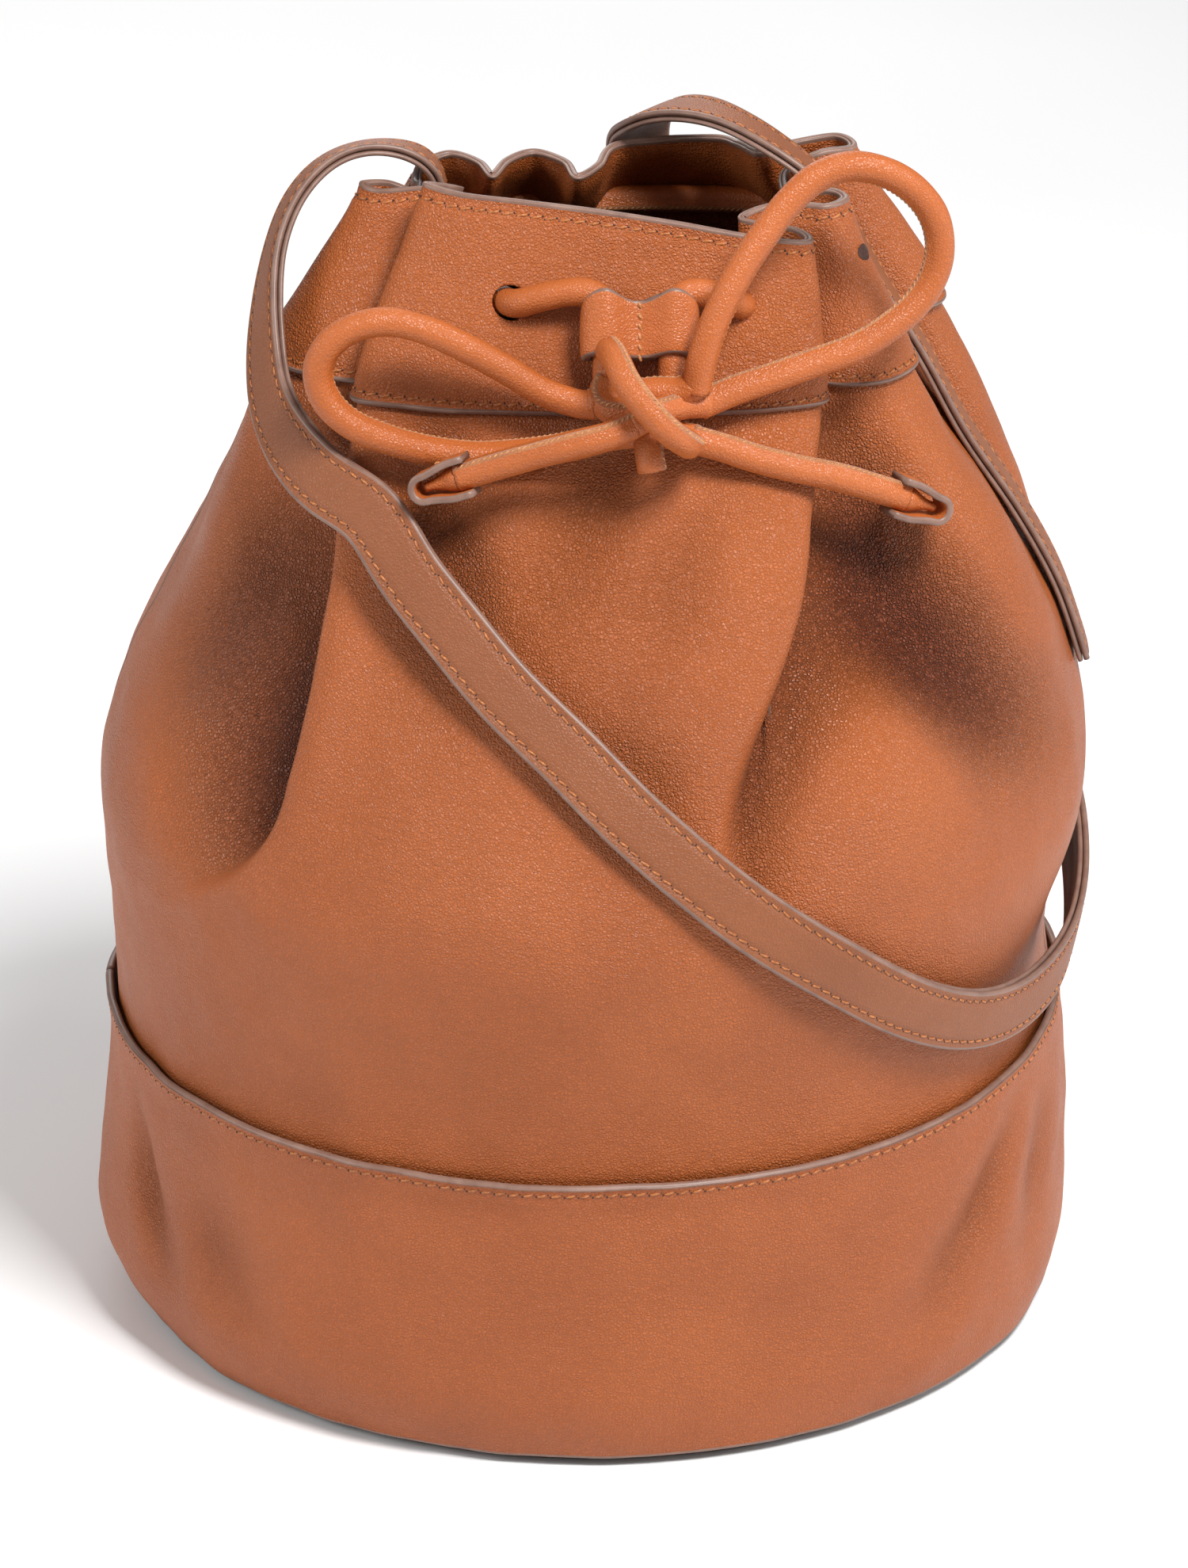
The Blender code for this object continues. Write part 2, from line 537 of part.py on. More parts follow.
def slider_piece(look):
    """Two leather tubes side by side, pinched where they are sewn together."""
    half_pitch = SLIDER_PITCH / 2
    radius = SLIDER_THICKNESS / 2
    outline = []
    for i in range(13):
        turn = math.radians(-90 + 15 * i)
        outline.append((half_pitch + 1.25 * radius * math.cos(turn), radius * math.sin(turn)))
    outline.append((0.0, 0.62 * radius))
    outline += [(-x, y) for x, y in reversed(outline[:13])]
    outline.append((0.0, -0.62 * radius))
    across = Vector((1, 0, 0))
    front = SLIDER_AXIS.cross(across).normalized()
    points = []
    for along in (-SLIDER_LENGTH / 2, SLIDER_LENGTH / 2):
        for x, y in outline:
            points.append(SLIDER_CENTRE + across * x + front * y + SLIDER_AXIS * along)
    count = len(outline)
    faces = [tuple(range(count)), tuple(range(count, 2 * count))]
    for i in range(count):
        j = (i + 1) % count
        faces.append((i, j, count + j, count + i))
    piece = node("slider", mesh_from("slider", points, faces), look)
    for side, x in (("left", -half_pitch), ("right", half_pitch)):
        ends = [SLIDER_CENTRE + across * x + SLIDER_AXIS * s * SLIDER_LENGTH for s in (-1, 1)]
        hole = tube_cutter("slider_hole_" + side, ends, CORD_DIAMETER / 2 + GAP + 0.0003, 16)
        cut(piece, hole)
    return piece


def knot(look):
    """The bow's knot, a rounded lump of wrapped cord."""
    mesh = bpy.data.meshes.new("bow_knot")
    work = bmesh.new()
    bmesh.ops.create_uvsphere(work, u_segments=16, v_segments=10, radius=1)
    for vertex in work.verts:
        vertex.co = KNOT_CENTRE + Vector(c * h for c, h in zip(vertex.co, KNOT_HALF))
    work.to_mesh(mesh)
    work.free()
    return node("bow_knot", mesh, look)


def tip(name, look, end, along, out):
    """A folded leather tab: a flat block with a round outer end, just past the cord's end."""
    along = along.normalized()
    out = (out - along * out.dot(along)).normalized()
    across = along.cross(out)
    half = TIP_WIDTH / 2
    outline = [(0.0, -half), (0.0, half)]
    for i in range(9):
        turn = math.radians(90 - 22.5 * i)
        outline.append((TIP_LENGTH - half + half * math.cos(turn), half * math.sin(turn)))
    points = []
    for height in (-TIP_THICKNESS / 2, TIP_THICKNESS / 2):
        for x, y in outline:
            points.append(end + along * (x + GAP) + across * y + out * height)
    count = len(outline)
    faces = [tuple(range(count)), tuple(range(count, 2 * count))]
    for i in range(count):
        j = (i + 1) % count
        faces.append((i, j, count + j, count + i))
    return node(name, mesh_from(name, points, faces), look)


def main():
    clear()
    tan = material("tan_leather", (0.48, 0.17, 0.055), 0.42)
    edge = material("painted_edge", (0.20, 0.10, 0.065), 0.5)
    suede = material("suede_side", (0.16, 0.07, 0.035), 0.85)
    board = material("board", (0.30, 0.27, 0.22), 0.8)

    disc("base_panel", edge, BASE_HALF_WIDTH, BASE_HALF_DEPTH, 0.0, BASE_PANEL)
    board_inset = LEATHER + GAP + 0.0010
    disc("base_board", board, BASE_HALF_WIDTH - board_inset, BASE_HALF_DEPTH - board_inset,
         BASE_PANEL + GAP, BASE_BOARD)
    disc("base_lining", suede, BASE_HALF_WIDTH - board_inset, BASE_HALF_DEPTH - board_inset,
         BASE_PANEL + BASE_BOARD + 2 * GAP, BASE_LINING)

    band_bottom = BASE_PANEL + GAP
    band_lap = [BAND_HEIGHT - LAP, BAND_HEIGHT]
    halves("base_band", tan,
           steps(band_bottom, band_lap[0], BAND_LEVELS) + band_lap,
           lambda z: GAP + LEATHER * 1.15, lambda z: GAP)

    body_top = SEAM_HEIGHT + LAP
    collar_lap = [SEAM_HEIGHT - 0.001, body_top]
    halves("body", tan, band_lap + steps(BAND_HEIGHT, collar_lap[0], BODY_LEVELS)[1:] + collar_lap,
           lambda z: 0.0, lambda z: -LEATHER)

    above_lap = [body_top + 0.001, body_top + 0.006]
    neck_levels = above_lap + steps(above_lap[-1], RIM_HEIGHT, COLLAR_LEVELS)[1:] + [RIM_HEIGHT]
    collar = halves("collar", tan, collar_lap + neck_levels,
                    lambda z: GAP + LEATHER, lambda z: GAP)

    def facing_outer(z):
        return -(LEATHER + GAP) * (1 - smooth((z - body_top - 0.001) / 0.005))

    facing = halves("collar_facing", suede, collar_lap + neck_levels, facing_outer,
                    lambda z: facing_outer(z) - FACING)

    neck = curve_through(NECK_CORD, 80)
    cord_path = tube_cutter("neck_cord_path", neck, EYELET_DIAMETER / 2)
    for piece in collar + facing:
        cut(piece, cord_path)
    cord("drawcord", tan, NECK_CORD, CORD_DIAMETER)

    slider_piece(tan)
    knot(tan)
    cord("bow_loop_left", tan, LOOP_LEFT, CORD_DIAMETER)
    cord("bow_loop_right", tan, LOOP_RIGHT, CORD_DIAMETER)
    cord("cord_tail_left", tan, TAIL_LEFT, CORD_DIAMETER)
    cord("cord_tail_right", tan, TAIL_RIGHT, CORD_DIAMETER)
    for side, route in (("left", TAIL_LEFT), ("right", TAIL_RIGHT)):
        tip("cord_tip_" + side, edge, Vector(route[-1]),
            Vector(route[-1]) - Vector(route[-2]), Vector((0, -1, 0.3)))

    path = strap_path()
    seat = -(STRAP_OUTER + STRAP_LINING) / 2
    ribbon("strap_lining", suede, path, STRAP_WIDTH, seat, seat + STRAP_LINING - GAP)
    ribbon("strap_outer", tan, path, STRAP_WIDTH, seat + STRAP_LINING, seat + STRAP_LINING + STRAP_OUTER)


main()
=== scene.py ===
"""The looks of the leather bucket bag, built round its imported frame.

Metres, in the frame's own axes: +Z up, -Y the front. Angles run round the bag from +X towards
the back, in degrees. The leather follows the same skin as the frame's panels, with finer folds.
"""

import math

import bmesh
import bpy
import numpy as np
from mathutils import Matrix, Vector, noise


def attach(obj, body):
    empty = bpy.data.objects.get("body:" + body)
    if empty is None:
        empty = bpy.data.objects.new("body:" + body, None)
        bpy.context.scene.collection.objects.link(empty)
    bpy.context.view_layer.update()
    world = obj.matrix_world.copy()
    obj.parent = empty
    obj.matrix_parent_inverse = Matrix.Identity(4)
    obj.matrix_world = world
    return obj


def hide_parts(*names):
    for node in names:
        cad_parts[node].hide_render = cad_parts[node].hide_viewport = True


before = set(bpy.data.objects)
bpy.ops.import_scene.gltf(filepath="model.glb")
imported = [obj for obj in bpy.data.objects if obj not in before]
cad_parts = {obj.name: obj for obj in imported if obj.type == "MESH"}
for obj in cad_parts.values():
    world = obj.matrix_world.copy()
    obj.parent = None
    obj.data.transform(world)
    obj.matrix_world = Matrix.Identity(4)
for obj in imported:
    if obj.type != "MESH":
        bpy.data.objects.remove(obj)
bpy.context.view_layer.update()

# The skin's sizes, as in the frame.
RIM_HEIGHT = 0.300
SEAM_HEIGHT = 0.2540
BAND_HEIGHT = 0.080
BELLY_HEIGHT = 0.138
FOLD_START = 0.152
BASE_HALF = (0.1130, 0.1045)
BULGE_HALF = (0.1205, 0.1095)
BULGE_SHIFT = -0.0032
WAIST_HALF = (0.1180, 0.1095)
BELLY_HALF = (0.1210, 0.1165)
SHOULDER_SHIFT = 0.0035
SEAM_HALF = (0.082, 0.0585)
MOUTH_HALF = (0.059, 0.036)
DENT_ANGLE = -14
DENT_HEIGHT = 0.099
DENT_DEPTH = 0.0075
DENT_SPREAD_ANGLE = 30
DENT_SPREAD_HEIGHT = 0.024
LEATHER = 0.0014
FACING = 0.0010
GAP = 0.0003
LAP = 0.011
BASE_PANEL = 0.0024
BASE_BOARD = 0.0016
BASE_LINING = 0.0010
STRAP_WIDTH = 0.0155
STRAP_OUTER = 0.0018
STRAP_LINING = 0.0014
STRAP_EASE = 0.0005
CORD_DIAMETER = 0.0066
SLIDER_LENGTH = 0.0135
SLIDER_THICKNESS = 0.0100
SLIDER_PITCH = 0.0150
TIP_LENGTH = 0.0130
TIP_WIDTH = 0.0100
TIP_THICKNESS = 0.0088
BODY_TOP = SEAM_HEIGHT + LAP
EYELET_RADIUS = 0.0041
# Where the visible neck cord goes through the two front eyelets, out of CORD_STEPS places.
CORD_STEPS = 420
EYELET_STRETCHES = ((92, 118), (304, 328))

# Lines of leather: angle at the belly, place at the rim, the rim's dip, place at the collar seam.
PLEATS = (
    (-180, (-0.0400, -0.0010), 0.011, (-0.0715, 0.0010)),
    (-173, (-0.0410, -0.0100), 0.010, (-0.0725, -0.0095)),
    (-166, (-0.0480, -0.0110), 0.007, (-0.0755, -0.0160)),
    (-158, (-0.0535, -0.0140), 0.006, (-0.0755, -0.0235)),
    (-150, (-0.0500, -0.0185), 0.006, (-0.0700, -0.0310)),
    (-142, (-0.0400, -0.0195), 0.005, (-0.0620, -0.0360)),
    (-135, (-0.0315, -0.0225), 0.004, (-0.0520, -0.0400)),
    (-131, (-0.0335, -0.0265), 0.002, (-0.0550, -0.0455)),
    (-127, (-0.0385, -0.0305), 0.000, (-0.0535, -0.0510)),
    (-120, (-0.0305, -0.0345), 0.001, (-0.0430, -0.0545)),
    (-110, (-0.0170, -0.0365), 0.002, (-0.0260, -0.0575)),
    (-99, (0.0000, -0.0385), 0.0035, (-0.0060, -0.0590)),
    (-89, (0.0180, -0.0410), 0.0055, (0.0150, -0.0595)),
    (-81, (0.0360, -0.0435), 0.008, (0.0350, -0.0580)),
    (-76, (0.0485, -0.0430), 0.0095, (0.0505, -0.0530)),
    (-73, (0.0465, -0.0365), 0.009, (0.0520, -0.0460)),
    (-69, (0.0340, -0.0325), 0.008, (0.0440, -0.0410)),
    (-62, (0.0395, -0.0265), 0.007, (0.0520, -0.0385)),
    (-46, (0.0480, -0.0275), 0.006, (0.0600, -0.0400)),
    (-29, (0.0540, -0.0285), 0.006, (0.0680, -0.0380)),
    (-16, (0.0575, -0.0240), 0.006, (0.0735, -0.0300)),
    (-11, (0.0540, -0.0190), 0.006, (0.0735, -0.0230)),
    (-6, (0.0450, -0.0155), 0.009, (0.0710, -0.0165)),
    (0, (0.0445, -0.0050), 0.011, (0.0708, -0.0060)),
    (6, (0.0450, 0.0055), 0.010, (0.0710, 0.0045)),
    (12, (0.0535, 0.0080), 0.006, (0.0790, 0.0090)),
    (20, (0.0605, 0.0115), 0.006, (0.0830, 0.0165)),
    (31, (0.0570, 0.0180), 0.006, (0.0775, 0.0290)),
    (41, (0.0470, 0.0160), 0.007, (0.0660, 0.0355)),
    (49, (0.0390, 0.0080), 0.007, (0.0540, 0.0370)),
    (57, (0.0340, 0.0150), 0.007, (0.0460, 0.0440)),
    (67, (0.0290, 0.0220), 0.008, (0.0350, 0.0490)),
    (79, (0.0160, 0.0240), 0.009, (0.0180, 0.0510)),
    (90, (0.0055, 0.0190), 0.009, (0.0030, 0.0490)),
    (98, (0.0015, 0.0060), 0.009, (-0.0040, 0.0430)),
    (104, (-0.0040, -0.0020), 0.009, (-0.0090, 0.0400)),
    (110, (-0.0075, 0.0080), 0.009, (-0.0140, 0.0440)),
    (117, (-0.0140, 0.0150), 0.009, (-0.0210, 0.0480)),
    (124, (-0.0205, 0.0090), 0.009, (-0.0290, 0.0440)),
    (130, (-0.0240, -0.0010), 0.009, (-0.0350, 0.0380)),
    (136, (-0.0275, 0.0080), 0.009, (-0.0410, 0.0400)),
    (144, (-0.0340, 0.0140), 0.009, (-0.0510, 0.0400)),
    (154, (-0.0405, 0.0095), 0.010, (-0.0610, 0.0310)),
    (168, (-0.0415, 0.0040), 0.012, (-0.0690, 0.0130)),
)

# Cord routes, as in the frame.
SLIDER_CENTRE = Vector((0.0105, -0.0602, 0.2745))
SLIDER_AXIS = Vector((0.0, -0.353, -0.9356)).normalized()
NECK_CORD = (
    (0.0030, -0.0642, 0.2640), (0.0030, -0.0629, 0.2673), (0.0030, -0.0616, 0.2709),
    (0.0030, -0.0602, 0.2745), (0.0030, -0.0588, 0.2781), (0.0029, -0.0574, 0.2818),
    (0.0010, -0.0558, 0.2855), (-0.0045, -0.0545, 0.2862), (-0.0120, -0.0540, 0.2820),
    (-0.0180, -0.0500, 0.2775), (-0.0215, -0.0420, 0.2755), (-0.0260, -0.0330, 0.2745),
    (-0.0335, -0.0235, 0.2745), (-0.0440, -0.0140, 0.2745), (-0.0480, -0.0020, 0.2745),
    (-0.0465, 0.0110, 0.2745), (-0.0420, 0.0210, 0.2740), (-0.0340, 0.0255, 0.2735),
    (-0.0240, 0.0265, 0.2735), (-0.0130, 0.0275, 0.2735), (-0.0020, 0.0290, 0.2735),
    (0.0100, 0.0300, 0.2735), (0.0220, 0.0300, 0.2735), (0.0340, 0.0290, 0.2735),
    (0.0450, 0.0260, 0.2735), (0.0530, 0.0200, 0.2740), (0.0535, 0.0100, 0.2745),
    (0.0490, -0.0010, 0.2745), (0.0480, -0.0120, 0.2745), (0.0440, -0.0220, 0.2745),
    (0.0340, -0.0300, 0.2745), (0.0330, -0.0400, 0.2750), (0.0340, -0.0500, 0.2770),
    (0.0300, -0.0555, 0.2825), (0.0245, -0.0562, 0.2865), (0.0198, -0.0560, 0.2855),
    (0.0181, -0.0574, 0.2818), (0.0180, -0.0588, 0.2781), (0.0180, -0.0602, 0.2745),
    (0.0180, -0.0616, 0.2709), (0.0180, -0.0629, 0.2673), (0.0180, -0.0642, 0.2640),
)
# The same route with the bends above the slider drawn down behind its front wall.
VISIBLE_NECK_CORD = (
    *NECK_CORD[:4], (0.0028, -0.0583, 0.2780), (0.0014, -0.0562, 0.2808),
    (-0.0016, -0.0549, 0.2820), (-0.0062, -0.0541, 0.2818), (-0.0120, -0.0532, 0.2802),
    *NECK_CORD[9:33],
    (0.0310, -0.0540, 0.2800), (0.0260, -0.0548, 0.2818), (0.0222, -0.0552, 0.2820),
    (0.0194, -0.0564, 0.2808), (0.0182, -0.0583, 0.2780), *NECK_CORD[38:],
)
LOOP_LEFT = (
    (0.0010, -0.0690, 0.2600), (-0.0045, -0.0675, 0.2600), (-0.0120, -0.0665, 0.2625),
    (-0.0200, -0.0660, 0.2675), (-0.0290, -0.0655, 0.2725), (-0.0380, -0.0645, 0.2765),
    (-0.0470, -0.0640, 0.2785), (-0.0550, -0.0640, 0.2770), (-0.0610, -0.0640, 0.2725),
    (-0.0635, -0.0640, 0.2660), (-0.0615, -0.0645, 0.2590), (-0.0560, -0.0650, 0.2535),
    (-0.0480, -0.0655, 0.2500), (-0.0380, -0.0665, 0.2475), (-0.0270, -0.0675, 0.2465),
    (-0.0170, -0.0685, 0.2475), (-0.0080, -0.0690, 0.2490), (0.0010, -0.0695, 0.2515),
)
LOOP_RIGHT = (
    (0.0230, -0.0705, 0.2640), (0.0242, -0.0705, 0.2705), (0.0265, -0.0695, 0.2785),
    (0.0300, -0.0670, 0.2860), (0.0340, -0.0640, 0.2925), (0.0385, -0.0610, 0.2985),
    (0.0435, -0.0580, 0.3045), (0.0500, -0.0555, 0.3100), (0.0575, -0.0540, 0.3125),
    (0.0655, -0.0525, 0.3110), (0.0725, -0.0510, 0.3065), (0.0775, -0.0500, 0.3000),
    (0.0795, -0.0495, 0.2925), (0.0785, -0.0500, 0.2850), (0.0745, -0.0520, 0.2785),
    (0.0680, -0.0550, 0.2735), (0.0600, -0.0580, 0.2695), (0.0510, -0.0605, 0.2670),
    (0.0410, -0.0635, 0.2645), (0.0320, -0.0655, 0.2620), (0.0240, -0.0675, 0.2590),
)
TAIL_LEFT = (
    (0.0090, -0.0785, 0.2590), (0.0030, -0.0805, 0.2570), (-0.0050, -0.0805, 0.2548),
    (-0.0130, -0.0797, 0.2522), (-0.0220, -0.0785, 0.2490), (-0.0310, -0.0772, 0.2455),
)
TAIL_RIGHT = (
    (0.0222, -0.0700, 0.2520), (0.0290, -0.0700, 0.2500), (0.0370, -0.0695, 0.2470),
    (0.0460, -0.0682, 0.2440), (0.0550, -0.0655, 0.2410), (0.0640, -0.0625, 0.2370),
    (0.0720, -0.0595, 0.2330),
)

# The strap's path, as in the frame.
STRAP_SEWN_INSIDE_LEFT = ((180, 0.170), (180, 0.190), (180, 0.210), (180, 0.228))
STRAP_SEWN_RIGHT = ((0, 0.168), (0, 0.188), (0, 0.208), (0, 0.228), (0, 0.2475), (0, 0.268))
STRAP_LEFT_ARCH = (
    ((-0.0640, 0.0010, 0.2460), (0.75, 0.00, 0.65)),
    ((-0.0500, 0.0010, 0.2570), (0.75, 0.00, 0.65)),
    ((-0.0405, 0.0010, 0.2660), (0.90, 0.00, 0.45)),
    ((-0.0370, 0.0010, 0.2760), (0.98, 0.00, 0.10)),
    ((-0.0360, -0.0005, 0.2870), (0.95, 0.00, 0.25)),
    ((-0.0390, -0.0015, 0.2948), (0.60, 0.12, 0.79)),
    ((-0.0465, -0.0022, 0.2982), (0.20, 0.24, 0.95)),
    ((-0.0555, -0.0035, 0.2985), (-0.10, 0.28, 0.95)),
    ((-0.0640, -0.0065, 0.2955), (-0.42, 0.22, 0.88)),
    ((-0.0710, -0.0120, 0.2885), (-0.75, 0.08, 0.65)),
    ((-0.0752, -0.0190, 0.2785), (-0.92, -0.08, 0.38)),
    ((-0.0768, -0.0270, 0.2680), (-0.92, -0.34, 0.20)),
    ((-0.0768, -0.0350, 0.2580), (-0.84, -0.52, 0.18)),
    ((-0.0752, -0.0440, 0.2505), (-0.74, -0.65, 0.18)),
    ((-0.0705, -0.0545, 0.2445), (-0.60, -0.76, 0.26)),
    ((-0.0625, -0.0645, 0.2390), (-0.42, -0.82, 0.38)),
)
STRAP_FRONT = (
    (-121, 0.2310, 0.0078), (-116, 0.2205, 0.0062), (-111, 0.2110, 0.0046),
    (-104, 0.1985, 0.0037), (-96, 0.1865, 0.0034), (-88, 0.1735, 0.0034),
    (-80, 0.1610, 0.0034), (-72, 0.1480, 0.0034), (-63, 0.1340, 0.0036),
    (-53, 0.1185, 0.0040), (-43, 0.1075, 0.0050), (-33, 0.1020, 0.0065),
    (-22, 0.1010, 0.0080), (-11, 0.1035, 0.0080), (1, 0.1080, 0.0060),
    (13, 0.1150, 0.0045), (25, 0.1255, 0.0036), (37, 0.1390, 0.0034),
    (48, 0.1550, 0.0036), (58, 0.1725, 0.0042), (66, 0.1920, 0.0050),
    (73, 0.2130, 0.0060), (79, 0.2330, 0.0072), (84, 0.2510, 0.0095),
    (87, 0.2650, 0.0110),
)
STRAP_RIGHT_ARCH = (
    ((0.0105, 0.0380, 0.2780), (-0.05, 0.93, 0.35)),
    ((0.0105, 0.0325, 0.2900), (-0.35, 0.78, 0.52)),
    ((0.0145, 0.0215, 0.2985), (-0.45, 0.38, 0.80)),
    ((0.0225, 0.0135, 0.3025), (-0.12, 0.12, 1.00)),
    ((0.0325, 0.0050, 0.3025), (0.25, 0.08, 0.97)),
    ((0.0425, -0.0020, 0.2990), (0.55, 0.00, 0.84)),
    ((0.0525, -0.0050, 0.2920), (0.85, 0.00, 0.53)),
    ((0.0600, -0.0055, 0.2805), (0.90, 0.00, 0.43)),
)

# Folds where one stretch of leather stands over the next. Each has the way round to its low side,
# then rows of (height, angle of its lip, depth beyond the lip, reach of the low side).
STEP_FOLDS = (
    (-1, ((0.262, -126, 0.0000, 0.020), (0.246, -126, 0.0010, 0.022), (0.228, -127, 0.0034, 0.026),
          (0.208, -128, 0.0076, 0.030), (0.190, -128.5, 0.0112, 0.033),
          (0.174, -129, 0.0118, 0.034), (0.160, -130, 0.0098, 0.032),
          (0.149, -133, 0.0060, 0.028), (0.140, -138, 0.0024, 0.024),
          (0.130, -145, 0.0000, 0.020))),
    (1, ((0.262, -76, 0.0000, 0.020), (0.246, -76, 0.0010, 0.022), (0.228, -76, 0.0034, 0.026),
         (0.208, -76.5, 0.0074, 0.028), (0.194, -77.5, 0.0094, 0.026), (0.180, -78, 0.0090, 0.024),
         (0.168, -77.5, 0.0070, 0.022), (0.157, -76, 0.0042, 0.020), (0.146, -74, 0.0000, 0.018))),
)
# Creases pressed into the leather: (angle, height, depth, spread) along each one.
CREASES = (
    ((-94, 0.250, 0.0006, 0.008), (-96, 0.238, 0.0042, 0.010), (-99, 0.224, 0.0036, 0.013),
     (-100, 0.206, 0.0010, 0.014), (-101, 0.196, 0.0000, 0.015)),
    ((-116, 0.248, 0.0010, 0.007), (-114, 0.236, 0.0056, 0.010), (-113, 0.220, 0.0052, 0.013),
     (-112, 0.204, 0.0022, 0.014), (-110, 0.192, 0.0000, 0.014)),
    ((-61, 0.244, 0.0010, 0.009), (-57, 0.232, 0.0056, 0.012), (-53, 0.219, 0.0100, 0.015),
     (-46, 0.203, 0.0125, 0.018), (-37, 0.189, 0.0115, 0.018), (-28, 0.177, 0.0070, 0.016),
     (-19, 0.167, 0.0018, 0.015), (-12, 0.160, 0.0000, 0.012)),
    ((-140, 0.236, 0.0010, 0.009), (-146, 0.216, 0.0036, 0.012), (-152, 0.196, 0.0040, 0.013),
     (-158, 0.178, 0.0016, 0.012), (-162, 0.166, 0.0000, 0.012)),
    ((-96, 0.190, 0.0000, 0.014), (-91, 0.182, 0.0026, 0.014), (-86, 0.178, 0.0024, 0.013),
     (-83, 0.172, 0.0000, 0.012)),
    ((-84, 0.242, 0.0006, 0.008), (-86, 0.230, 0.0030, 0.010), (-88, 0.216, 0.0022, 0.012),
     (-90, 0.202, 0.0000, 0.012)),
    ((-158, 0.062, 0.0010, 0.005), (-155, 0.048, 0.0034, 0.006), (-150, 0.036, 0.0028, 0.007),
     (-147, 0.024, 0.0004, 0.007)),
    ((-141, 0.052, 0.0004, 0.007), (-138, 0.040, 0.0022, 0.009), (-134, 0.028, 0.0012, 0.009)),
    ((-30, 0.064, 0.0012, 0.006), (-35, 0.052, 0.0036, 0.007), (-42, 0.038, 0.0026, 0.008),
     (-47, 0.026, 0.0004, 0.008)),
    ((-20, 0.060, 0.0010, 0.006), (-23, 0.046, 0.0022, 0.007), (-26, 0.034, 0.0004, 0.008)),
    ((25, 0.235, 0.0004, 0.008), (27, 0.210, 0.0030, 0.011), (30, 0.185, 0.0024, 0.014),
     (32, 0.165, 0.0000, 0.014)),
    ((49, 0.245, 0.0010, 0.007), (50, 0.215, 0.0050, 0.010), (52, 0.185, 0.0056, 0.012),
     (50, 0.160, 0.0006, 0.013)),
    ((104, 0.245, 0.0010, 0.007), (103, 0.215, 0.0050, 0.010), (101, 0.190, 0.0056, 0.012),
     (102, 0.162, 0.0006, 0.013)),
    ((131, 0.245, 0.0010, 0.007), (132, 0.215, 0.0045, 0.010), (134, 0.190, 0.0040, 0.012),
     (133, 0.168, 0.0004, 0.013)),
    ((158, 0.240, 0.0006, 0.008), (157, 0.212, 0.0032, 0.011), (158, 0.180, 0.0016, 0.014)),
)
# Soft swellings: (angle, height, how far out, spread round, spread up).
SWELLINGS = (
    (-58, 0.172, 0.0050, 0.026, 0.024), (-100, 0.150, 0.0010, 0.045, 0.026),
    (-20, 0.206, 0.0030, 0.018, 0.026),
    (-152, 0.150, 0.0018, 0.026, 0.026), (-104, 0.236, 0.0016, 0.010, 0.012),
    (-84, 0.238, 0.0016, 0.012, 0.016), (75, 0.160, 0.0018, 0.035, 0.026),
    (120, 0.158, 0.0015, 0.022, 0.022), (20, 0.150, 0.0012, 0.030, 0.025),
)
COLUMN_ANGLE = 0.5
UNEVENNESS = 0.0008
# Fold depth at which the painted shade and the raised grain in the hollows are at their strongest.
FULL_HOLLOW = 0.011
# The eyelet on the right-hand pleat: angle, height and radius.
BACK_EYELET = (-19, 0.2850, 0.0021)

# Camera: the height it looks at, its distance, rise and lens.
LOOK_AT = Vector((0, 0, 0.131))
CAMERA_DISTANCE = 1.6
CAMERA_RISE = math.radians(25.5)
SENSOR = 36.0
LENS = 148.7


def smooth(t):
    t = np.clip(t, 0.0, 1.0)
    return t * t * (3 - 2 * t)


def mix(a, b, t):
    return a + (b - a) * t


def catmull(a, b, c, d, t):
    return 0.5 * (2 * b + (c - a) * t + (2 * a - 5 * b + 4 * c - d) * t * t
                  + (3 * b - a - 3 * c + d) * t * t * t)


def curve_through(rows, count):
    """count points on a Catmull-Rom curve through the rows, as an array."""
    rows = np.array(rows, float)
    last = len(rows) - 1
    at = np.arange(count) * last / (count - 1)
    k = np.minimum(at.astype(int), last - 1)
    four = [rows[np.clip(k + j, 0, last)] for j in (-1, 0, 1, 2)]
    return catmull(*four, (at - k)[:, None])


def even(points, count):
    """A path read at count places, the same distance apart along its first three columns."""
    gaps = np.linalg.norm(np.diff(points[:, :3], axis=0), axis=1)
    marks = np.concatenate([[0], np.cumsum(gaps)])
    targets = np.linspace(0, marks[-1], count)
    return np.stack([np.interp(targets, marks, column) for column in points.T], axis=1)


def unit(rows):
    return rows / np.maximum(np.linalg.norm(rows, axis=-1, keepdims=True), 1e-12)


def pleats_at(angles):
    """(rim place, dip, seam place) at each angle."""
    table = np.array([(a, *rim, dip, *seam) for a, rim, dip, seam in PLEATS])
    angles = (np.asarray(angles, float) + 180) % 360 - 180
    lines = np.append(table[:, 0], 180)
    k = np.clip(np.searchsorted(lines, angles, side="right") - 1, 0, len(table) - 1)
    t = ((angles - lines[k]) / (lines[k + 1] - lines[k]))[:, None]
    four = [table[(k + j) % len(table), 1:] for j in (-1, 0, 1, 2)]
    read = catmull(*four, t)
    return read[:, :2], read[:, 2], read[:, 3:]


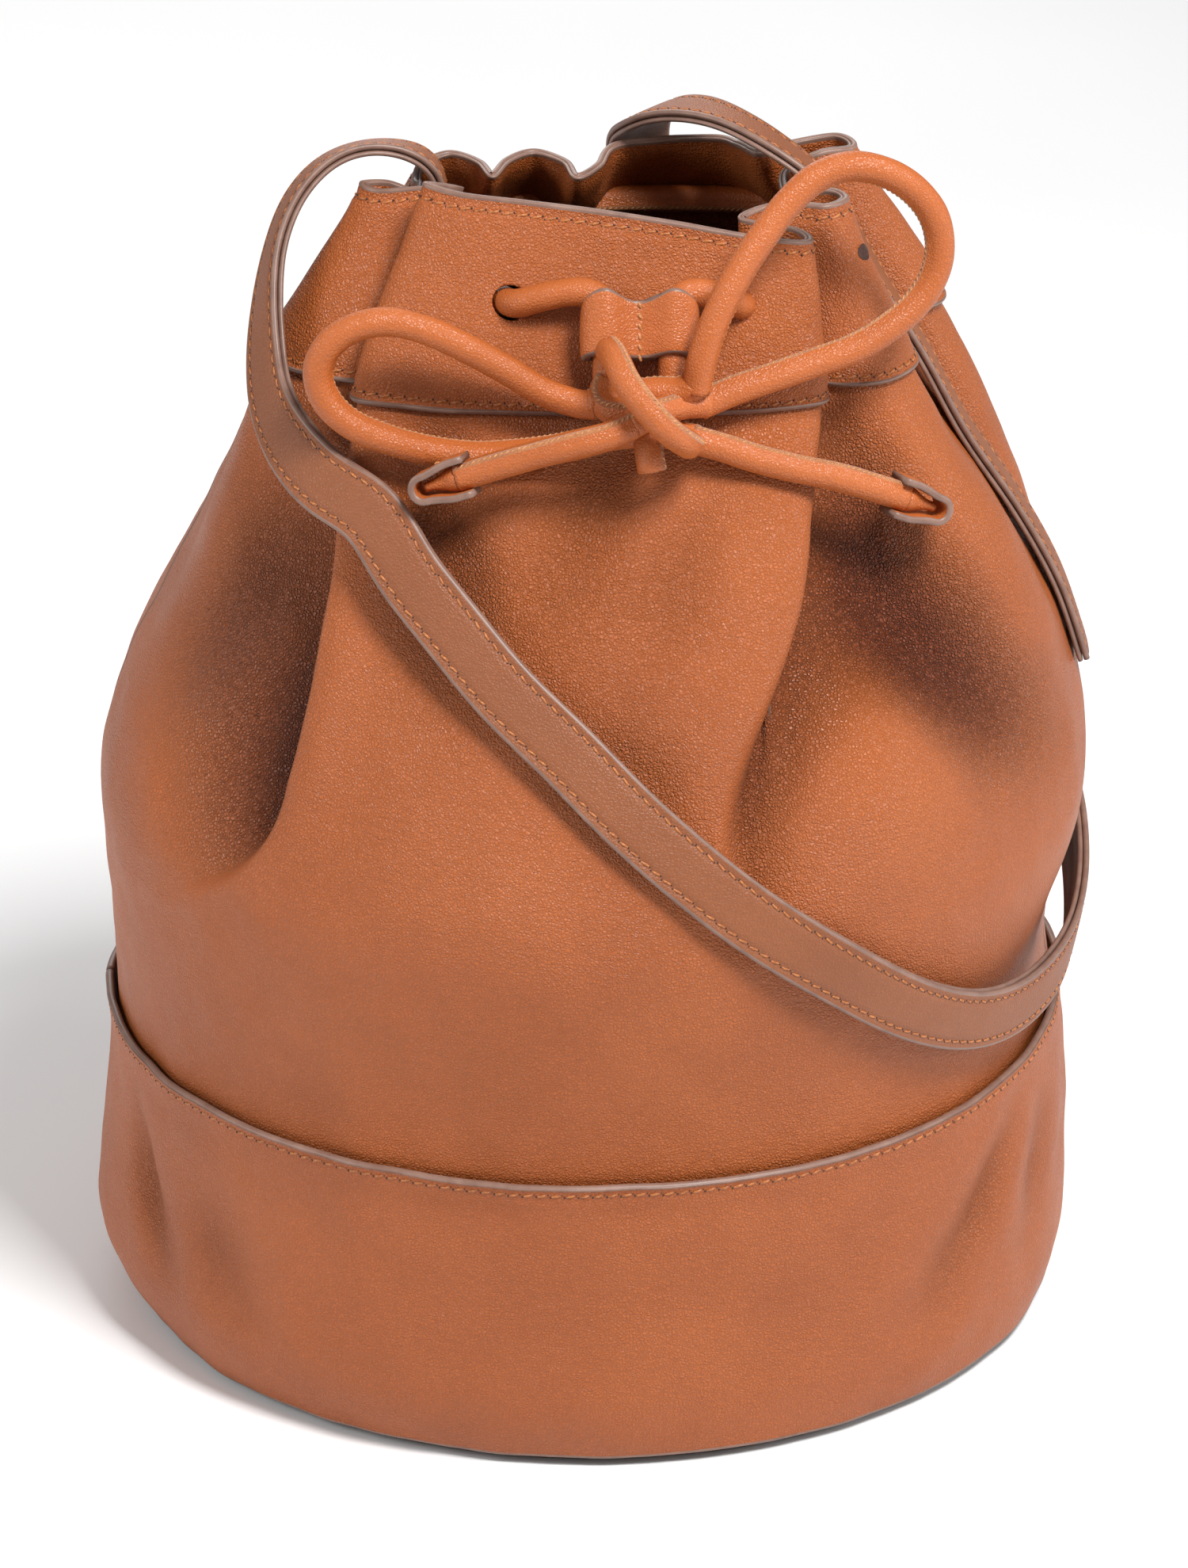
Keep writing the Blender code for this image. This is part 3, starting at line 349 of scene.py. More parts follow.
def section(z):
    """Half width, half depth and shift of the unpleated section at each height."""
    z = np.asarray(z, float)
    rise = np.clip((z - BELLY_HEIGHT) / (SEAM_HEIGHT - BELLY_HEIGHT), 0, 1)
    neck = np.clip((z - SEAM_HEIGHT) / (RIM_HEIGHT - SEAM_HEIGHT), 0, 1.2)
    rows = ((0.0, *BASE_HALF, 0.0), (0.28 * BAND_HEIGHT, *BULGE_HALF, BULGE_SHIFT),
            (0.85 * BAND_HEIGHT, *WAIST_HALF, 0.3 * BULGE_SHIFT), (BELLY_HEIGHT, *BELLY_HALF, 0.0))
    out = []
    for i in range(3):
        shoulder = SHOULDER_SHIFT * np.sin(np.pi * rise) ** 2 if i == 2 else 0.0
        upper = mix(rows[3][i + 1], (*SEAM_HALF, 0.0)[i], rise ** 1.5) + shoulder
        mouth = mix((*SEAM_HALF, 0.0)[i], (*MOUTH_HALF, 0.0)[i], neck)
        value = np.where(z >= SEAM_HEIGHT, mouth, upper)
        for k in (2, 1, 0):
            t = (z - rows[k][0]) / (rows[k + 1][0] - rows[k][0])
            t = np.sin(np.pi / 2 * np.clip(t, 0, 1)) if k == 0 else smooth(t)
            value = np.where(z < rows[k + 1][0], mix(rows[k][i + 1], rows[k + 1][i + 1], t), value)
        out.append(value)
    return out


def skin(angles, heights):
    """Points on the frame's outer skin at each height and angle: an array (height, angle, 3)."""
    angles = np.asarray(angles, float)
    heights = np.asarray(heights, float)
    turn = np.radians(angles)[None, :]
    z = heights[:, None]
    half_width, half_depth, shift = (part[:, None] for part in section(heights))
    signed = (angles + 180) % 360 - 180
    drawn_in = DENT_DEPTH * np.exp(-((signed[None, :] - DENT_ANGLE) / DENT_SPREAD_ANGLE) ** 2
                                   - ((z - DENT_HEIGHT) / DENT_SPREAD_HEIGHT) ** 2)
    x = (half_width - drawn_in) * np.cos(turn) + shift
    y = (half_depth - drawn_in) * np.sin(turn)
    growth = smooth((z - FOLD_START) / (SEAM_HEIGHT - FOLD_START))
    rim, dip, seam = pleats_at(angles)
    rise = np.maximum(0.0, (z - SEAM_HEIGHT) / (RIM_HEIGHT - SEAM_HEIGHT))
    blend = mix(rise, smooth(rise), 0.5)
    wide, deep, _ = section(np.maximum(heights, SEAM_HEIGHT))
    reference = (wide[:, None] * np.cos(turn), deep[:, None] * np.sin(turn))
    for i, flat in enumerate((x, y)):
        place = mix(seam[None, :, i], rim[None, :, i], blend)
        flat += (place - reference[i]) * growth
    return np.stack([x, y, np.broadcast_to(z, x.shape) - dip[None, :] * rise], axis=2)


def folds(angles, heights):
    """How far the leather is pressed in by its folds and creases: an array (height, angle)."""
    points = skin(angles, heights)
    signed = (np.asarray(angles, float) + 180) % 360 - 180
    z = np.asarray(heights, float)
    radius = np.linalg.norm(points[..., :2], axis=2)
    depth = np.zeros(points.shape[:2])
    for way, rows in STEP_FOLDS:
        rows = curve_through(rows[::-1], 8 * len(rows))
        lip, deep, reach = (np.interp(z, rows[:, 0], rows[:, i])[:, None] for i in (1, 2, 3))
        beyond = way * np.radians(signed[None, :] - lip) * radius
        step = smooth((beyond + 0.0010) / 0.0085)
        fading = np.exp(-(np.maximum(beyond - 0.005, 0) / reach) ** 1.5)
        depth += np.maximum(deep, 0) * step * fading
        depth -= 0.16 * np.maximum(deep, 0) * np.exp(-((beyond + 0.0045) / 0.006) ** 2)
    for crease in CREASES:
        line = curve_through(crease, 6 * len(crease))
        pressed = np.zeros(depth.shape)
        for angle, height, deep, spread in line:
            centre = skin([angle], [height])[0, 0]
            distance = np.linalg.norm((points - centre) * (1, 1, 0.85), axis=2)
            pressed = np.maximum(pressed, deep * np.exp(-(distance / spread) ** 2))
        depth += pressed
    for angle, height, out, around, up in SWELLINGS:
        apart = np.radians(signed[None, :] - angle) * radius
        depth -= out * np.exp(-(apart / around) ** 2 - ((z[:, None] - height) / up) ** 2)
    return depth


def puckers(points, strength):
    """Soft unevenness of leather at its points, from smooth noise."""
    flat = points.reshape(-1, 3)
    rough = [noise.noise(Vector(p) * 38) + 0.45 * noise.noise(Vector(p) * 95) for p in flat]
    return np.array(rough).reshape(points.shape[:-1]) * strength


def leather_skin(angles, heights):
    """The visible skin, its outward normals, and how far its folds press it in."""
    points = skin(angles, heights)
    pressed = folds(angles, heights)
    depth = pressed - puckers(points, UNEVENNESS)
    points = points - normals_of(points) * depth[..., None]
    return points, normals_of(points), pressed


def normals_of(points):
    """Outward normals of a (height, angle) grid."""
    return unit(np.cross(np.gradient(points, axis=1), np.gradient(points, axis=0)))


def mesh_object(name, points, faces, material_index=None, looks=()):
    mesh = bpy.data.meshes.new(name)
    mesh.from_pydata(np.asarray(points, float).reshape(-1, 3).tolist(), [], faces)
    for look in looks:
        mesh.materials.append(look)
    if material_index is not None:
        mesh.polygons.foreach_set("material_index", material_index)
    work = bmesh.new()
    work.from_mesh(mesh)
    bmesh.ops.recalc_face_normals(work, faces=work.faces)
    work.to_mesh(mesh)
    work.free()
    mesh.shade_smooth()
    obj = bpy.data.objects.new(name, mesh)
    bpy.context.scene.collection.objects.link(obj)
    return obj


def grid_faces(rows, columns, wrap_rows=False, wrap_columns=False):
    faces = []
    for r in range(rows if wrap_rows else rows - 1):
        below = r * columns
        above = ((r + 1) % rows) * columns
        for c in range(columns if wrap_columns else columns - 1):
            d = (c + 1) % columns
            faces.append((below + c, below + d, above + d, above + c))
    return faces


def tube_faces(rows, columns):
    """The faces of rings of points joined one after another, with both ends closed."""
    last = (rows - 1) * columns
    caps = [tuple(reversed(range(columns))), tuple(range(last, last + columns))]
    return grid_faces(rows, columns, wrap_columns=True) + caps


def finish_piece(obj, body, slot, *nodes):
    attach(obj, body)
    if nodes:
        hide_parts(*nodes)
    return obj


def sheet_profile(low, high, outer, inner, step):
    """A closed profile round a sheet's thickness as rows of (height, offset, look).

    Looks: 0 outside, 1 inside, 2 painted edge. outer and inner give the offset at a height.
    """
    edge = 0.0009
    paint = 0.0012
    body_levels = np.linspace(low + paint, high - paint,
                              max(2, round((high - low - 2 * paint) / step) + 1))

    def lip(end, way, swell, turns):
        half = (outer(end) - inner(end)) / 2
        middle = (outer(end) + inner(end)) / 2
        return [(end - way * half + way * half * math.sin(turn),
                 middle + (half + swell) * math.cos(turn), 2) for turn in np.radians(turns)]

    turns = (0, 35, 70, 110, 145, 180)
    rows = [(low + edge, outer(low), 2)]
    rows += [(z, outer(z), 0) for z in body_levels]
    rows.append((high - edge, outer(high) + 0.00012, 2))
    rows += lip(high, 1, 0.00012, turns)
    rows.append((high - edge, inner(high) - 0.00005, 2))
    rows += [(z, inner(z), 1) for z in reversed(body_levels)]
    rows.append((low + edge, inner(low), 1))
    return rows + lip(low, -1, 0.00008, turns[::-1])


def leather_sheet(name, start, end, profile, looks, slot, node):
    """A sheet of leather wrapped round the bag between two angles, closed all round its edges."""
    angles = np.linspace(start, end, round((end - start) / COLUMN_ANGLE) + 1)
    heights = np.array([row[0] for row in profile])
    offsets = np.array([row[1] for row in profile])
    order = np.argsort(heights, kind="stable")
    sorted_heights = heights[order] + np.arange(len(order)) * 1e-9
    base, _, pressed = leather_skin(angles, sorted_heights)
    # Normals come from an even grid, so that close rows don't disturb them.
    grid = np.linspace(heights.min() - 0.002, heights.max() + 0.002, 60)
    _, smooth_normals, _ = leather_skin(angles, grid)
    rows = np.empty((len(order), len(angles), 3))
    for points, place, z in zip(base, order, sorted_heights):
        at = (z - grid[0]) / (grid[1] - grid[0])
        k = int(np.clip(at, 0, len(grid) - 2))
        normal = unit(mix(smooth_normals[k], smooth_normals[k + 1], at - k))
        rows[place] = points + normal * offsets[place]
    count, columns = rows.shape[:2]
    faces = grid_faces(count, columns, wrap_rows=True)
    marks = []
    for r in range(count):
        look = 2 if 2 in (profile[r][2], profile[(r + 1) % count][2]) else profile[r][2]
        marks += [look] * (columns - 1)
    for c in (0, columns - 1):
        faces.append(tuple(r * columns + c for r in range(count)))
        marks.append(2)
    obj = mesh_object(name, rows, faces, marks, looks)
    # The hollow attribute: how far the folds press each point in. The leather's look uses it to
    # paint shade into the hollows and to raise its grain there.
    hollows = np.empty((count, columns))
    hollows[order] = np.clip(pressed / FULL_HOLLOW, 0, 1)
    attribute = obj.data.attributes.new("hollow", "FLOAT", "POINT")
    attribute.data.foreach_set("value", hollows.ravel())
    return finish_piece(obj, "bag", slot, node)


# ---------------------------------------------------------------- materials

def shader_tree(name, roughness):
    made = bpy.data.materials.new(name)
    made.use_nodes = True
    tree = made.node_tree
    shader = tree.nodes["Principled BSDF"]
    shader.inputs["Roughness"].default_value = roughness
    place = tree.nodes.new("ShaderNodeTexCoord")
    return made, tree, shader, place.outputs["Object"]


def noise_node(tree, place, scale, detail=3.0, roughness=0.5, distortion=0.0):
    made = tree.nodes.new("ShaderNodeTexNoise")
    made.inputs["Scale"].default_value = scale
    made.inputs["Detail"].default_value = detail
    made.inputs["Roughness"].default_value = roughness
    made.inputs["Distortion"].default_value = distortion
    tree.links.new(place, made.inputs["Vector"])
    return made.outputs["Fac"]


def cells(tree, place, scale):
    """The distance to the edges of a pattern of cells."""
    made = tree.nodes.new("ShaderNodeTexVoronoi")
    made.feature = "DISTANCE_TO_EDGE"
    made.inputs["Scale"].default_value = scale
    tree.links.new(place, made.inputs["Vector"])
    return made.outputs["Distance"]


def ramp(tree, value, stops):
    made = tree.nodes.new("ShaderNodeValToRGB")
    band = made.color_ramp
    while len(band.elements) < len(stops):
        band.elements.new(0.5)
    for element, (at, colour) in zip(band.elements, stops):
        element.position = at
        element.color = (*colour, 1)
    tree.links.new(value, made.inputs["Fac"])
    return made.outputs["Color"]


def grey(value):
    return (value, value, value)


def blend_colour(tree, factor, a, b, way="MIX"):
    made = tree.nodes.new("ShaderNodeMix")
    made.data_type = "RGBA"
    made.blend_type = way
    for value, slot_index in ((factor, 0), (a, 6), (b, 7)):
        if isinstance(value, (int, float)):
            made.inputs[slot_index].default_value = value
        elif isinstance(value, tuple):
            made.inputs[slot_index].default_value = (*value, 1)
        else:
            tree.links.new(value, made.inputs[slot_index])
    return made.outputs[2]


def arithmetic(tree, way, a, b):
    made = tree.nodes.new("ShaderNodeMath")
    made.operation = way
    for value, socket in zip((a, b), made.inputs):
        if isinstance(value, (int, float)):
            socket.default_value = value
        else:
            tree.links.new(value, socket)
    return made.outputs[0]


def bump(tree, shader, height, strength, distance, after=None):
    """A bump after another one, if given; its strength is a number or a socket."""
    made = tree.nodes.new("ShaderNodeBump")
    if isinstance(strength, float):
        made.inputs["Strength"].default_value = strength
    else:
        tree.links.new(strength, made.inputs["Strength"])
    made.inputs["Distance"].default_value = distance
    tree.links.new(height, made.inputs["Height"])
    if after is not None:
        tree.links.new(after, made.inputs["Normal"])
    tree.links.new(made.outputs["Normal"], shader.inputs["Normal"])
    return made.outputs["Normal"]


def leather_look(name, deep, mid, light, grain=1.0, roughness=0.46, crinkle=1.0):
    """Smooth aniline leather: pebbled grain, a crinkle, mottled colour, painted shade in the folds'
    hollows and a soft waxy shine.
    """
    made, tree, shader, place = shader_tree(name, roughness)
    broad = noise_node(tree, place, 26, 3, 0.5)
    fine = noise_node(tree, place, 420, 3, 0.6)
    warped = tree.nodes.new("ShaderNodeVectorMath")
    warped.operation = "MULTIPLY_ADD"
    spread = tree.nodes.new("ShaderNodeTexNoise")
    spread.inputs["Scale"].default_value = 900
    tree.links.new(place, spread.inputs["Vector"])
    tree.links.new(spread.outputs["Color"], warped.inputs[0])
    warped.inputs[1].default_value = (0.0007, 0.0007, 0.0007)
    tree.links.new(place, warped.inputs[2])
    pores = cells(tree, warped.outputs[0], 1250)
    colour = ramp(tree, broad, ((0.25, deep), (0.50, mid), (0.75, light)))
    mottle = ramp(tree, fine, ((0.25, grey(0.90)), (0.75, grey(1.0))))
    colour = blend_colour(tree, 0.7, colour, mottle, "MULTIPLY")
    pore_shade = ramp(tree, pores, ((0.0, grey(0.66)), (0.16, grey(1.0))))
    colour = blend_colour(tree, 0.55 * grain, colour, pore_shade, "MULTIPLY")
    # Painted shade: the colour darkens with the hollow attribute, deepest where the folds press the
    # leather in, in place of the shade that falls in the folds.
    hollow = tree.nodes.new("ShaderNodeAttribute")
    hollow.attribute_name = "hollow"
    tones = ((0.0, grey(1.0)), (0.35, grey(0.80)), (1.0, (0.46, 0.36, 0.30)))
    painted_hollow_shade = ramp(tree, hollow.outputs["Fac"], tones)
    colour = blend_colour(tree, 1.0, colour, painted_hollow_shade, "MULTIPLY")
    tree.links.new(colour, shader.inputs["Base Color"])
    wear = arithmetic(tree, "MULTIPLY", noise_node(tree, place, 55, 3, 0.6), 0.22)
    tree.links.new(arithmetic(tree, "ADD", wear, roughness - 0.11), shader.inputs["Roughness"])
    stretched = tree.nodes.new("ShaderNodeMapping")
    stretched.inputs["Scale"].default_value = (1.0, 1.0, 2.4)
    tree.links.new(place, stretched.inputs["Vector"])
    crinkles = noise_node(tree, stretched.outputs["Vector"], 300, 3, 0.6, 0.6)
    first = bump(tree, shader, crinkles, 0.45 * crinkle, 0.0007)
    pebbles = ramp(tree, pores, ((0.0, grey(0.0)), (0.30, grey(1.0))))
    # The grain stands out most where the leather is drawn into a hollow.
    strength = arithmetic(tree, "MULTIPLY", hollow.outputs["Fac"], 0.9 * grain)
    bump(tree, shader, pebbles, arithmetic(tree, "ADD", strength, 0.55 * grain), 0.00042, first)
    shader.inputs["Specular IOR Level"].default_value = 0.40
    return made


def paint_look(name, dark, light):
    """Painted leather edge: a rubbery coat with slow streaks and small lumps."""
    made, tree, shader, place = shader_tree(name, 0.42)
    streaks = noise_node(tree, place, 210, 3, 0.55)
    tree.links.new(ramp(tree, streaks, ((0.3, dark), (0.7, light))), shader.inputs["Base Color"])
    rough = arithmetic(tree, "MULTIPLY", streaks, 0.2)
    tree.links.new(arithmetic(tree, "ADD", rough, 0.34), shader.inputs["Roughness"])
    bump(tree, shader, noise_node(tree, place, 700, 2), 0.25, 0.0002)
    return made


def suede_look(name, dark, mid, light):
    """The leather's flesh side: a short matted nap, matt and patchy."""
    made, tree, shader, place = shader_tree(name, 0.92)
    patches = noise_node(tree, place, 60, 4, 0.65)
    nap = noise_node(tree, place, 1500, 4, 0.7, 1.5)
    colour = ramp(tree, patches, ((0.3, dark), (0.55, mid), (0.8, light)))
    fibres = ramp(tree, nap, ((0.3, grey(0.62)), (0.7, grey(1.25))))
    tree.links.new(blend_colour(tree, 0.8, colour, fibres, "MULTIPLY"), shader.inputs["Base Color"])
    bump(tree, shader, nap, 0.7, 0.0005)
    shader.inputs["Specular IOR Level"].default_value = 0.15
    shader.inputs["Sheen Weight"].default_value = 0.25
    shader.inputs["Sheen Roughness"].default_value = 0.6
    return made


def thread_look(name, dark, light):
    """Twisted waxed thread."""
    made, tree, shader, place = shader_tree(name, 0.5)
    twist = noise_node(tree, place, 1400, 2, 0.5)
    tree.links.new(ramp(tree, twist, ((0.35, dark), (0.65, light))), shader.inputs["Base Color"])
    bump(tree, shader, twist, 0.5, 0.0002)
    return made


def board_look(name):
    """Grey fibre board: pressed flecks."""
    made, tree, shader, place = shader_tree(name, 0.85)
    flecks = noise_node(tree, place, 420, 5, 0.7, 0.8)
    tones = ((0.3, (0.17, 0.15, 0.12)), (0.6, (0.30, 0.27, 0.22)), (0.8, (0.40, 0.37, 0.31)))
    tree.links.new(ramp(tree, flecks, tones), shader.inputs["Base Color"])
    bump(tree, shader, flecks, 0.4, 0.0004)
    return made


TAN = leather_look("tan_leather", (0.340, 0.082, 0.016), (0.378, 0.093, 0.019),
                   (0.415, 0.105, 0.022))
SMOOTH_TAN = leather_look("tan_strap_leather", (0.225, 0.068, 0.023), (0.248, 0.077, 0.026),
                          (0.270, 0.086, 0.030), 0.55, 0.5, 0.35)
CORD_TAN = leather_look("tan_cord_leather", (0.400, 0.098, 0.020), (0.440, 0.110, 0.024),
                        (0.480, 0.124, 0.029), 0.6, 0.40, 0.6)
PAINT = paint_look("edge_paint", (0.165, 0.088, 0.064), (0.235, 0.136, 0.102))
DARK_PAINT = paint_look("base_edge_paint", (0.070, 0.032, 0.024), (0.11, 0.055, 0.042))
SUEDE = suede_look("suede_side", (0.085, 0.036, 0.018), (0.15, 0.068, 0.036), (0.24, 0.12, 0.07))
RAW = suede_look("raw_leather_edge", (0.30, 0.095, 0.030), (0.42, 0.155, 0.055), (0.52, 0.23, 0.10))
THREAD = thread_look("thread", (0.26, 0.075, 0.016), (0.47, 0.165, 0.045))
CORD_THREAD = thread_look("cord_thread", (0.30, 0.105, 0.030), (0.56, 0.25, 0.09))
# Near-black painted shade, for the needle holes of the stitches and the back eyelet's hole.
HOLE_SHADE = thread_look("stitch_hole_shade", (0.030, 0.008, 0.003), (0.055, 0.015, 0.006))
BOARD = board_look("board")


# ---------------------------------------------------------------- stitches

def capsule(centre, along, out, length, radius):
    """Points of one stitch: five rings of eight that dive into the leather at both ends."""
    across = np.cross(out, along)
    rows = []
    for t, swell in ((-0.5, 0.25), (-0.36, 0.8), (0.0, 1.0), (0.36, 0.8), (0.5, 0.25)):
        middle = centre + along * t * length - out * radius * 2.2 * abs(t) ** 2 * 2
        for k in range(8):
            turn = math.pi * k / 4
            way = across * math.cos(turn) + out * 0.8 * math.sin(turn)
            rows.append(middle + way * radius * swell)
    return rows


CAPSULE_FACES = tube_faces(5, 8)


def stitches(name, path, outs, body, pitch=0.0033, length=0.0029, radius=0.00036, slant=14,
             look=None):
    """A row of slanted stitches along a path that lies on the leather, with outward directions."""
    whole = np.concatenate([path, outs], axis=1)
    total = np.linalg.norm(np.diff(path, axis=0), axis=1).sum()
    count = max(2, round(total / pitch))
    rows = even(whole, count)
    along = unit(np.gradient(rows[:, :3], axis=0))
    out = unit(rows[:, 3:])
    points = []
    faces = []
    marks = []
    turn = math.radians(slant)
    for centre, way, up in zip(rows[:, :3], along, out):
        across = np.cross(up, way)
        way = way * math.cos(turn) + across * math.sin(turn)
        lumps = [(centre + up * radius * 0.35, length, radius, 0)]
        if look is None:
            # The needle's hole at each end of the stitch: a dark lump of painted shade in place of
            # the dimple in the leather.
            for end in (-0.5, 0.5):
                place = centre + way * end * length + up * radius * 0.05
                lumps.append((place, 1.7 * radius, 0.85 * radius, 1))
        for middle, long, thick, mark in lumps:
            start = len(points)
            points += capsule(middle, way, up, long, thick)
            faces += [tuple(i + start for i in face) for face in CAPSULE_FACES]
            marks += [mark] * len(CAPSULE_FACES)
    obj = mesh_object(name, points, faces, marks, (look or THREAD, HOLE_SHADE))
    return finish_piece(obj, body, "tan_leather")


def ring_path(start, end, height, offset):
    """(points, outward directions) along the leather at one height, as for a row of stitches."""
    angles = np.linspace(start, end, round(end - start) * 2 + 1)
    points, normals, _ = leather_skin(angles, [height - 0.001, height, height + 0.001])
    return points[1] + normals[1] * offset, normals[1]


# ---------------------------------------------------------------- the bag's panels

def base():
    """The bottom disc, its stiffener and the lining disc inside."""
    columns = 288
    turn = np.linspace(0, 2 * np.pi, columns, endpoint=False)

    def round_disc(name, half_width, half_depth, low, high, look, node, slot, wave):
        edge = (high - low) / 2
        rings = []
        # Insets from 0.05 up are shares of the disc's size; smaller ones are metres.
        for inset, z in ((0.6, low), (0.3, low), (0.05, low), (edge, low),
                         (0.35 * edge, low + 0.3 * edge), (0, low + edge),
                         (0.35 * edge, high - 0.3 * edge), (edge, high), (0.05, high),
                         (0.3, high), (0.6, high)):
            if inset >= 0.05:
                scale = 1 - inset
                width, depth = half_width * scale, half_depth * scale
            else:
                width, depth = half_width - inset, half_depth - inset
            flat = (width * np.cos(turn), depth * np.sin(turn), np.full(columns, z))
            ring = np.stack(flat, axis=1)
            if wave and z > low:
                ring[:, 2] += wave * np.sin(5 * turn + 40 * (1 - width / half_width))
            rings.append(ring)
        faces = tube_faces(len(rings), columns)
        obj = mesh_object(name, np.concatenate(rings), faces, None, (look,))
        return finish_piece(obj, "bag", slot, node)

    inset = LEATHER + GAP + 0.0010
    inner = (BASE_HALF[0] - inset, BASE_HALF[1] - inset)
    board_low = BASE_PANEL + GAP
    lining_low = BASE_PANEL + BASE_BOARD + 2 * GAP
    round_disc("bottom_disc", *BASE_HALF, 0.0, BASE_PANEL, DARK_PAINT, "base_panel",
               "painted_edge", 0)
    round_disc("bottom_board", *inner, board_low, board_low + BASE_BOARD, BOARD, "base_board",
               "board", 0)
    round_disc("bottom_lining", *inner, lining_low, lining_low + BASE_LINING, SUEDE, "base_lining",
               "suede_side", 0.00015)


def groove(z, at, deep=0.00028, spread=0.0011):
    """How far a row of stitches at a height draws the leather in."""
    return -deep * math.exp(-((z - at) / spread) ** 2)


def panels():
    """Base band, body and collar, each a front and a back sheet that meet at the side seams."""
    gap_angle = math.degrees(GAP / 2 / MOUTH_HALF[1])
    sides = (("front", -180 + gap_angle, -gap_angle), ("back", gap_angle, 180 - gap_angle))
    band_low = BASE_PANEL + GAP
    stitch_down = 0.0027
    band_row = BAND_HEIGHT - stitch_down
    rim_row = RIM_HEIGHT - 0.0036
    seam_row = SEAM_HEIGHT - 0.001 + stitch_down

    def band_outer(z):
        proud = 0.0010 * smooth((z - BAND_HEIGHT + 0.010) / 0.010)
        return GAP + LEATHER * 1.15 + proud + groove(z, band_row)

    def band_inner(z):
        return GAP + 0.0008 * smooth((z - BAND_HEIGHT + 0.008) / 0.008)

    def collar_outer(z):
        skived = 0.0004 * smooth((z - RIM_HEIGHT + 0.006) / 0.006)
        proud = 0.0005 * (1 - smooth((z - SEAM_HEIGHT + 0.001) / 0.004))
        return GAP + LEATHER - skived + proud + groove(z, rim_row) + groove(z, seam_row)

    def facing_outer(z):
        return -(LEATHER + GAP) * (1 - smooth((z - BODY_TOP - 0.001) / 0.005))

    def facing_inner(z):
        return facing_outer(z) - FACING + 0.0004 * smooth((z - RIM_HEIGHT + 0.006) / 0.006)

    collar_low = SEAM_HEIGHT - 0.001
    sheets = (
        ("band_leather_", sheet_profile(band_low, BAND_HEIGHT, band_outer, band_inner, 0.0016),
         (TAN, SUEDE, PAINT), "tan_leather", "base_band_"),
        ("body_leather_", sheet_profile(BAND_HEIGHT - LAP, BODY_TOP, lambda z: 0.0,
                                        lambda z: -LEATHER, 0.0016),
         (TAN, SUEDE, PAINT), "tan_leather", "body_"),
        ("collar_leather_", sheet_profile(collar_low, RIM_HEIGHT, collar_outer,
                                          lambda z: GAP * 0.4, 0.0011),
         (TAN, SUEDE, PAINT), "tan_leather", "collar_"),
        ("facing_leather_", sheet_profile(collar_low, RIM_HEIGHT, facing_outer,
                                          facing_inner, 0.0016),
         (TAN, TAN, PAINT), "suede_side", "collar_facing_"))
    rows = (("band_stitches_", band_row, band_outer), ("rim_stitches_", rim_row, collar_outer),
            ("collar_stitches_", seam_row, collar_outer))
    for side, start, end in sides:
        pieces = [leather_sheet(name + side, start, end, profile, looks, slot, node + side)
                  for name, profile, looks, slot, node in sheets]
        if side == "front":
            for piece in pieces[2:]:
                punch(piece)
        for name, height, outer in rows:
            line = ring_path(start + 0.5, end - 0.5, height, outer(height))
            stitches(name + side, *line, "bag")


def back_eyelet():
    """The small eyelet hole low on the right-hand pleat: a dark disc of painted shade laid on the
    collar's own surface.
    """
    centre_angle, centre_height, radius = BACK_EYELET
    lift = GAP + LEATHER + 0.00012
    place = skin([centre_angle], [centre_height])[0, 0]
    per_degree = np.linalg.norm(skin([centre_angle + 1], [centre_height])[0, 0] - place)
    points = []
    for reach in (0.0, 0.5, 1.0):
        for turn in np.linspace(0, 2 * np.pi, 24, endpoint=False):
            angle = centre_angle + reach * radius * math.cos(turn) / per_degree
            z = centre_height + reach * radius * math.sin(turn)
            spot, normal, _ = leather_skin([angle - 0.4, angle, angle + 0.4],
                                           [z - 0.0006, z, z + 0.0006])
            points.append(spot[1, 1] + normal[1, 1] * (lift + 0.00025 * reach * (1 - reach)))
    obj = mesh_object("back_eyelet", points, grid_faces(3, 24, wrap_columns=True), None, (HOLE_SHADE,))
    finish_piece(obj, "bag", "tan_leather")


def punch(piece):
    """Cuts the two front eyelets out of a piece, with short tubes along the cord's own route."""
    path = curve_through(VISIBLE_NECK_CORD, CORD_STEPS)
    for first, last in EYELET_STRETCHES:
        tube = tube_mesh(path[first:last], EYELET_RADIUS, 20, (0, 0, 1))
        apply_cut(piece, mesh_object("eyelet_cutter", *tube))


def apply_cut(piece, cutter):
    """Cuts a solid out of a piece and removes the cutter."""
    modifier = piece.modifiers.new("cut", "BOOLEAN")
    modifier.operation = "DIFFERENCE"
    modifier.object = cutter
    modifier.solver = "EXACT"
    bpy.context.view_layer.update()
    graph = bpy.context.evaluated_depsgraph_get()
    cut_mesh = bpy.data.meshes.new_from_object(piece.evaluated_get(graph))
    piece.modifiers.clear()
    piece.data = cut_mesh
    bpy.data.objects.remove(cutter, do_unlink=True)


# ---------------------------------------------------------------- cords

def carried_side(path, side):
    """A sideways direction carried along a path without twisting."""
    along = unit(np.gradient(path, axis=0))
    side = np.array(side, float)
    sides = []
    for way in along:
        side = side - way * side.dot(way)
        side /= np.linalg.norm(side)
        sides.append(side.copy())
    return along, np.array(sides)


def tube_mesh(path, radius, around, side):
    """(points, faces) of a closed round tube along a path."""
    along, sides = carried_side(path, side)
    across = np.cross(along, sides)
    points = []
    for k in range(around):
        turn = 2 * math.pi * k / around
        points.append(path + (sides * math.cos(turn) + across * math.sin(turn)) * radius)
    return np.stack(points, axis=1).reshape(-1, 3), tube_faces(len(path), around)


